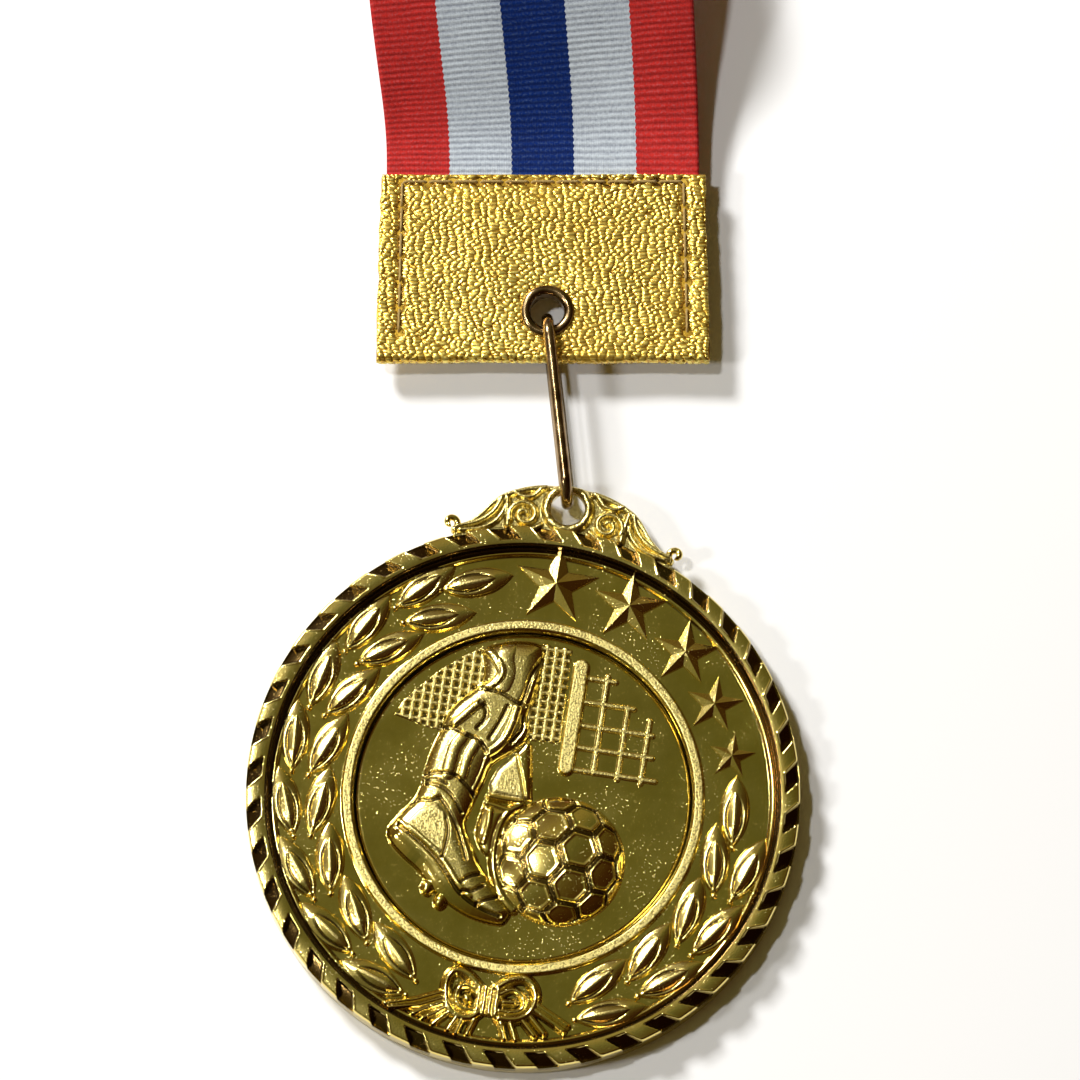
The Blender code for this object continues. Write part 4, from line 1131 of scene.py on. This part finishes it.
def eyelet_lip(brass):
    """The barrel, from its bore up over the rolled lip and down its outside to the clinched flare."""
    bore = [(EYE_R, -FACE)] + [(EYE_R, z) for z in np.linspace(-FACE + 0.3, FACE - 0.3, 5)]
    lip = [(EYE_R + LIP_R * (1 - cos(a)), FACE - 0.12 + LIP_R * sin(a)) for a in np.linspace(0, pi, 18)]
    outside = [(3.16, FACE - 0.02), (2.85, FACE - 0.02), (2.32, FACE - 0.02), (2.32, -FACE - 0.30)]
    flare = [(2.70, -FACE - 0.34), (2.72, -FACE - 0.44), (2.55, -FACE - 0.5), (2.28, -FACE - 0.46),
             (2.08, -FACE - 0.2)]
    return turned_piece("eyelet_lip", bore + lip + outside + flare, brass, wobble=0.05)


def eyelet_washer(brass):
    low, top = -FACE - 0.26, -FACE - 0.08
    ring = [(2.44, low + 0.04), (2.44, top - 0.02), (2.5, top), (2.95, top), (3.0, top - 0.05),
            (3.0, low + 0.05), (2.95, low), (2.5, low)]
    return turned_piece("eyelet_back_washer", ring, brass)


# ---------------------------------------------------------------- tab

SEAM_PITCH, THREAD_R = 3.1, 0.15
LEATHER_HOLE_R, RIBBON_HOLE_R = 2.42, 2.36
CELL_WIDE, CELL_TALL = 0.98, 0.42           # mean size of a pebble's cell
METRIC_ACROSS, METRIC_ALONG = 0.56, 0.44    # weights of the two directions in the distance to a crease
CREASE = 0.20


def on_tab(x, y):
    """Row-frame point of a place in the tab's own frame."""
    return tuple(TAB_FOLD[k] + TAB_ACROSS[k] * x + TAB_UP[k] * y for k in range(2))


def seam_points():
    """The needle holes: up the left side, along the top and down the right side."""
    side, top, foot = TAB_WIDTH / 2 - 2.6, TAB_HEIGHT - 0.9, 3.6
    corners = [(-side, foot), (-side + 0.4, top), (side - 0.4, top), (side, foot)]
    holes = [corners[0]]
    for (x0, y0), (x1, y1) in zip(corners, corners[1:]):
        parts = round(np.hypot(x1 - x0, y1 - y0) / SEAM_PITCH)
        holes += [(x0 + (x1 - x0) * k / parts, y0 + (y1 - y0) * k / parts) for k in range(1, parts + 1)]
    return holes


def pebbles(x, y, seed):
    """0 in the creases to 1 on the pebbles of a stretched, jittered cell pattern."""
    u = (x + 0.15 * y + 0.5 * np.sin(y * 0.22)) / CELL_WIDE + 0.20 * value_noise(x * 0.45, y * 0.45, seed + 5)
    v = (y + 0.25 * np.sin(x * 0.3)) / CELL_TALL + 0.25 * value_noise(x * 0.30, y * 0.45, seed + 9)
    i, j = np.floor(u), np.floor(v)
    first, second = np.full(x.shape, 9.0), np.full(x.shape, 9.0)
    for di in (-1, 0, 1):
        for dj in (-2, -1, 0, 1, 2):
            a, b = i + di, j + dj
            h1 = np.sin(a * 127.1 + b * 311.7 + seed) * 43758.5453
            h2 = np.sin(a * 269.5 + b * 183.3 + seed) * 43758.5453
            px, py = a + 0.84 * (h1 - np.floor(h1)), b + 0.84 * (h2 - np.floor(h2))
            d = np.hypot(METRIC_ACROSS * (u - px), METRIC_ALONG * (v - py))
            second = np.where(d < first, first, np.minimum(second, d))
            first = np.minimum(first, d)
    return step(0.0, CREASE, second - first)


def tab_rows(spacing):
    """Rows from the front's top edge, round the fold and up the back, each list as one column.

    They are the height above the fold, the outward direction (along the tab, off the tab) and the
    distance along the leather from the fold's middle.
    """
    flat = int((TAB_HEIGHT - FACE) / spacing)
    reach = TAB_HEIGHT - FACE
    down = TAB_HEIGHT - reach * np.arange(flat) / flat
    up = FACE + reach * np.arange(1, flat + 1) / flat
    a = pi / 2 - pi * np.arange(17) / 16
    heights = np.concatenate([down, FACE - FACE * np.cos(a), up])
    along_tab = np.concatenate([np.zeros(flat), -np.cos(a), np.zeros(flat)])
    off_tab = np.concatenate([np.ones(flat), np.sin(a), -np.ones(flat)])
    distance = np.concatenate([down, FACE - FACE * (pi / 2 - a), -up])
    return [values[:, None] for values in (heights, along_tab, off_tab, distance)]


def leather_tab(leather):
    """One folded sheet with a pebbled outside, pinched along its seams and pierced by the eyelet."""
    spacing = 0.105
    columns = int(TAB_WIDTH / spacing)
    heights, along_tab, off_tab, distance = tab_rows(spacing)
    rows = len(heights)
    share = np.linspace(-1, 1, columns)[None, :]
    half = (TAB_WIDTH + (TAB_TOP_WIDTH - TAB_WIDTH) * heights / TAB_HEIGHT) / 2
    x = half * share
    y = np.repeat(heights, columns, 1)
    s = np.repeat(distance, columns, 1)
    frayed = step(0.86, 1.0, np.abs(share))
    x = x + np.sign(x) * frayed * 0.16 * value_noise(s / 1.5, np.sign(x) * 3.0, 31)
    grain = pebbles(x, s, 4.0)

    holes = seam_points()
    from_seam = path_distance(x, y, holes)
    from_hole = np.full(x.shape, 9.0)
    for hx, hy in holes:
        from_hole = np.minimum(from_hole, np.hypot(x - hx, y - hy))
    from_eyelet = np.hypot(x - EYELET_SIDE, y - EYELET_UP)
    from_edge = np.minimum(half * (1 - np.abs(share)), TAB_HEIGHT - y)
    pinch = 0.16 * step(1.0, 0.1, from_seam) + 0.30 * step(0.95, 0.2, from_hole)
    pinch += 0.06 * step(3.9, 3.0, from_eyelet)
    pinch += 0.10 * step(0.35, 0.0, from_edge)
    drape = 0.11 * value_noise(x * 0.15 + 4.0, s * 0.22, 17) + 0.04 * value_noise(x * 0.45, s * 0.55, 23)
    worn_flat = 0.80 + 0.38 * value_noise(x * 0.11 + 1.0, s * 0.13, 41)
    lift = -0.15 + 0.17 * grain * worn_flat + drape - pinch
    # the grain mask is lowered near the seams and needle holes, which the leather's colour shows as painted
    # shade
    grain = grain * (1 - 0.5 * step(0.45, 0.1, from_seam)) * (1 - 0.8 * step(0.75, 0.3, from_hole))

    px, py = on_tab(x, y + along_tab * lift)
    outside = np.stack([px, py, MID_Z + off_tab * FACE + off_tab * lift], -1).reshape(-1, 3)
    bent = np.abs(off_tab) < 1
    px, py = on_tab(x, np.where(bent, FACE + (y - FACE) * LAYERS_HALF / FACE, y))
    inside = np.stack([px, py, np.repeat(MID_Z + off_tab * LAYERS_HALF, columns, 1)], -1).reshape(-1, 3)

    n = len(outside)
    quads = grid_faces(rows, columns)
    quads = quads[(from_eyelet.ravel()[quads] > LEATHER_HOLE_R).all(1)]
    rim = grid_rim(rows, columns)
    after = np.roll(rim, -1)
    edges = dict.fromkeys(map(tuple, edge_pairs(quads).tolist()))
    on_rim = set(rim.tolist())
    hole_walls = [(b, a, a + n, b + n) for a, b in edges if (b, a) not in edges and not {a, b} <= on_rim]
    faces = [quads, flipped(quads) + n, np.stack([after, rim, rim + n, after + n], -1), hole_walls]
    # painted shade at the needle holes and along the seams
    seam_shade = np.maximum(step(0.85, 0.3, from_hole), 0.60 * step(0.45, 0.1, from_seam))
    masks = {"grain": np.concatenate([grain.ravel(), np.full(n, 0.4)]),
             "shade_and_tone": np.concatenate([seam_shade.ravel(), np.zeros(n)])}
    points = np.concatenate([outside, inside])
    return fix_normals(drop_loose(mesh_piece("leather_tab", points, faces, leather, attributes=masks)))


def seam(name, side, thread):
    """Stitches that lie on the leather and dive into each needle hole."""
    holes = seam_points()
    path = []
    for (x0, y0), (x1, y1) in zip(holes, holes[1:]):
        for t in np.linspace(0, 1, 15)[:-1]:
            lie = FACE + 0.02 - 0.9 * step(0.14, 0.0, min(t, 1 - t))
            path.append((*on_tab(x0 + (x1 - x0) * t, y0 + (y1 - y0) * t), MID_Z + side * lie))
    path.append((*on_tab(*holes[-1]), MID_Z + side * (FACE - 0.8)))
    return swept(name, path, THREAD_R, thread, sides=10)


# ---------------------------------------------------------------- ribbon

RISE, ARCH_Z, ARCH = 30.0, 14.0, 26.0
PANEL_START, PANEL_END, PANEL_TOP, PANEL_PITCH, PANELS = 52.0, 126.0, 7.55, 2.3, 4
LEAN_LENGTH = 11.0
STRAP_APART = 0.7
GAP = 0.3
FINE_END = 62.0         # distance along the strip up to which the weft ribs are modelled
RIBBON_COLUMNS = 81


def ease(t):
    return t * t * (3 - 2 * t)


def strap_middle():
    """(distance from the fold, height) points of the line between the two straps, from inside the tab."""
    points = [(-(TAB_HEIGHT + FOLD_UP - 1.6) + k * 0.9, MID_Z) for k in range(24)]
    points = [p for p in points if p[0] < -1.2] + [(-0.9, MID_Z), (0.0, MID_Z)]
    points += [(GAP + (RISE - GAP) * k / 8, MID_Z + (ARCH_Z - MID_Z) * ease(k / 8)) for k in range(1, 9)]
    points += [(RISE + ARCH * k / 7, ARCH_Z + (PANEL_TOP - ARCH_Z) * ease(k / 7)) for k in range(1, 8)]
    height = PANEL_TOP
    for panel in range(PANELS):
        way = -1 if panel % 2 else 1
        end = PANEL_END if way > 0 else PANEL_START
        start = points[-1][0]
        points += [(start + (end - start) * k / 12, height) for k in range(1, 13)]
        if panel < PANELS - 1:
            r = PANEL_PITCH / 2
            turn = [pi * k / 8 for k in range(1, 8)]
            points += [(end + way * r * sin(a), height - r + r * cos(a)) for a in turn]
            height -= PANEL_PITCH
            points.append((end, height))
    return np.array(smooth_chain(points, parts=8))


def run_along(line):
    """Distance from the start at each point of a chain of flat points."""
    return np.concatenate([[0], np.cumsum(np.hypot(*np.diff(line, axis=0).T))])


def directions(line):
    """(unit tangent, unit normal to its left) at each point of a chain of flat points."""
    tangent = np.gradient(line, axis=0)
    tangent /= np.linalg.norm(tangent, axis=1)[:, None]
    return tangent, np.stack([-tangent[:, 1], tangent[:, 0]], -1)


def ribbon_profile():
    """The strip seen from its edge: its middle line, and which of its points have weft ribs."""
    middle = strap_middle()
    run = run_along(middle)
    stations = np.concatenate([np.arange(0, FINE_END, RIB_PITCH / 4), np.arange(FINE_END, run[-1], RIB_PITCH),
                               [run[-1]]])
    line = np.stack([np.interp(stations, run, middle[:, 0]), np.interp(stations, run, middle[:, 1])], -1)
    tangent, normal = directions(line)
    in_tab = STRAP + LAYER_GAP
    apart = in_tab + (STRAP_APART - in_tab) * step(0.0, 14.0, line[:, 0])
    apart = np.where(stations > 60, STRAP_APART, apart)
    half = normal * apart[:, None] / 2
    end, t, n = line[-1], tangent[-1], normal[-1]
    bight = [end + (t * sin(a) + n * cos(a)) * STRAP_APART / 2 for a in np.linspace(0, pi, 12)[1:-1]]
    fine = stations < FINE_END
    return (np.concatenate([line + half, bight, (line - half)[::-1]]),
            np.concatenate([fine, np.zeros(len(bight), bool), fine[::-1]]))


def ribbon_place(distance, side, z):
    """Row-frame place of a point of the ribbon, which turns to its own lean just above the tab."""
    share = np.clip(distance / LEAN_LENGTH, 0.0, 1.0)
    lean = np.radians(TAB_LEAN + (RIBBON_LEAN - TAB_LEAN) * share)
    leaned = np.where(share < 1, LEAN_LENGTH / 2 * share * share, distance - LEAN_LENGTH / 2)
    tail = along(RIBBON_LEAN)
    bx = FOLD_AXIS[0] + TAB_UP[0] * (distance - leaned) + tail[0] * leaned
    by = FOLD_AXIS[1] + TAB_UP[1] * (distance - leaned) + tail[1] * leaned
    return np.stack([bx + np.cos(lean) * side, by + np.sin(lean) * side, z], -1)


def woven_ribbon(fabric):
    """The whole strip: up one strap, round the bight and back down the other strap."""
    strip, ribbed = ribbon_profile()
    s = run_along(strip)
    _, out = directions(strip)
    far, z = strip[:, 0, None], strip[:, 1, None]
    side = np.linspace(-RIBBON_WIDTH / 2, RIBBON_WIDTH / 2, RIBBON_COLUMNS)[None, :]
    rib = 0.5 - 0.5 * np.cos(2 * pi * s / RIB_PITCH)
    swell = (STRAP / 2 - 0.06 + 0.06 * rib * ribbed)[:, None]
    selvedge = 1 - 0.35 * step(RIBBON_WIDTH / 2 - 0.5, RIBBON_WIDTH / 2, np.abs(side))
    spread = 1 + 0.035 * step(2.0, 22.0, far) * step(50.0, 30.0, far)
    wave = 0.22 * value_noise(side / 7.0 + 3.0, far / 11.0, 21) * step(3.0, 9.0, far) * step(60.0, 45.0, far)
    layers = []
    for sign in (1, -1):
        offset = out * sign * swell
        height = z + offset[:, 1, None] * selvedge + wave
        layers.append(ribbon_place(far + offset[:, 0, None], side * spread, height).reshape(-1, 3))
    points = np.concatenate(layers)

    n = len(layers[0])
    quads = grid_faces(len(strip), RIBBON_COLUMNS)
    from_eyelet = np.hypot(points[:n, 0] - EYELET[0], points[:n, 1] - EYELET[1])
    quads = quads[(from_eyelet[quads] > RIBBON_HOLE_R).all(1)]
    single, uses = np.unique(np.sort(edge_pairs(quads), axis=1), axis=0, return_counts=True)
    border = single[uses == 1]
    faces = [flipped(quads), quads + n, np.concatenate([border, flipped(border) + n], axis=1)]
    uv = np.stack(np.broadcast_arrays(side + RIBBON_WIDTH / 2, s[:, None]), -1).reshape(-1, 2) * MM
    ribbon = mesh_piece("woven_ribbon", points, faces, fabric, uv=np.concatenate([uv, uv]))
    return fix_normals(ribbon), s[-1]


# ---------------------------------------------------------------- assembly

def show(piece, body, slot, *nodes):
    """Puts a piece on its body and hides the CAD nodes that it stands for; the slot is not used."""
    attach(piece, body)
    if nodes:
        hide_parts(*nodes)


stage()
gold, brass, leather = plated_gold(), antique_brass(), leatherette()
thread, fabric = thread_material(), ribbon_material()

disc = medal_disc(gold)
show(disc, "medal", "gold_plate", "medal_casting")
for relief in (wreath(gold), star_row(gold), bow(gold), crest_plate(gold)):
    show(relief, "medal", "gold_plate")
for side, name in ((-1, "crest_curl_left"), (1, "crest_curl_right")):
    show(crest_curl(name, side, gold), "medal", "gold_plate")
show(centre_relief(gold), "medal", "gold_plate", "centre_insert")
show(wire_link(brass), "link", "antique_brass", "link_ring")
show(eyelet_lip(brass), "tab", "antique_brass", "eyelet_barrel")
show(eyelet_washer(brass), "tab", "antique_brass", "eyelet_washer")

tab = leather_tab(leather)
show(tab, "tab", "gold_leatherette", "tab_cover")
needle = seam("seam_front_stitches", 1, thread)
show(needle, "tab", "gold_thread", "needle_thread")
bobbin = seam("seam_back_stitches", -1, thread)
show(bobbin, "tab", "gold_thread", "bobbin_thread")

ribbon, ribbon_length = woven_ribbon(fabric)
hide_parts("neck_ribbon", "ribbon_end_front", "ribbon_end_rear")
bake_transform(ribbon)

foam = adhesive_foam()
for material_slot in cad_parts["insert_adhesive"].material_slots:
    material_slot.material = foam
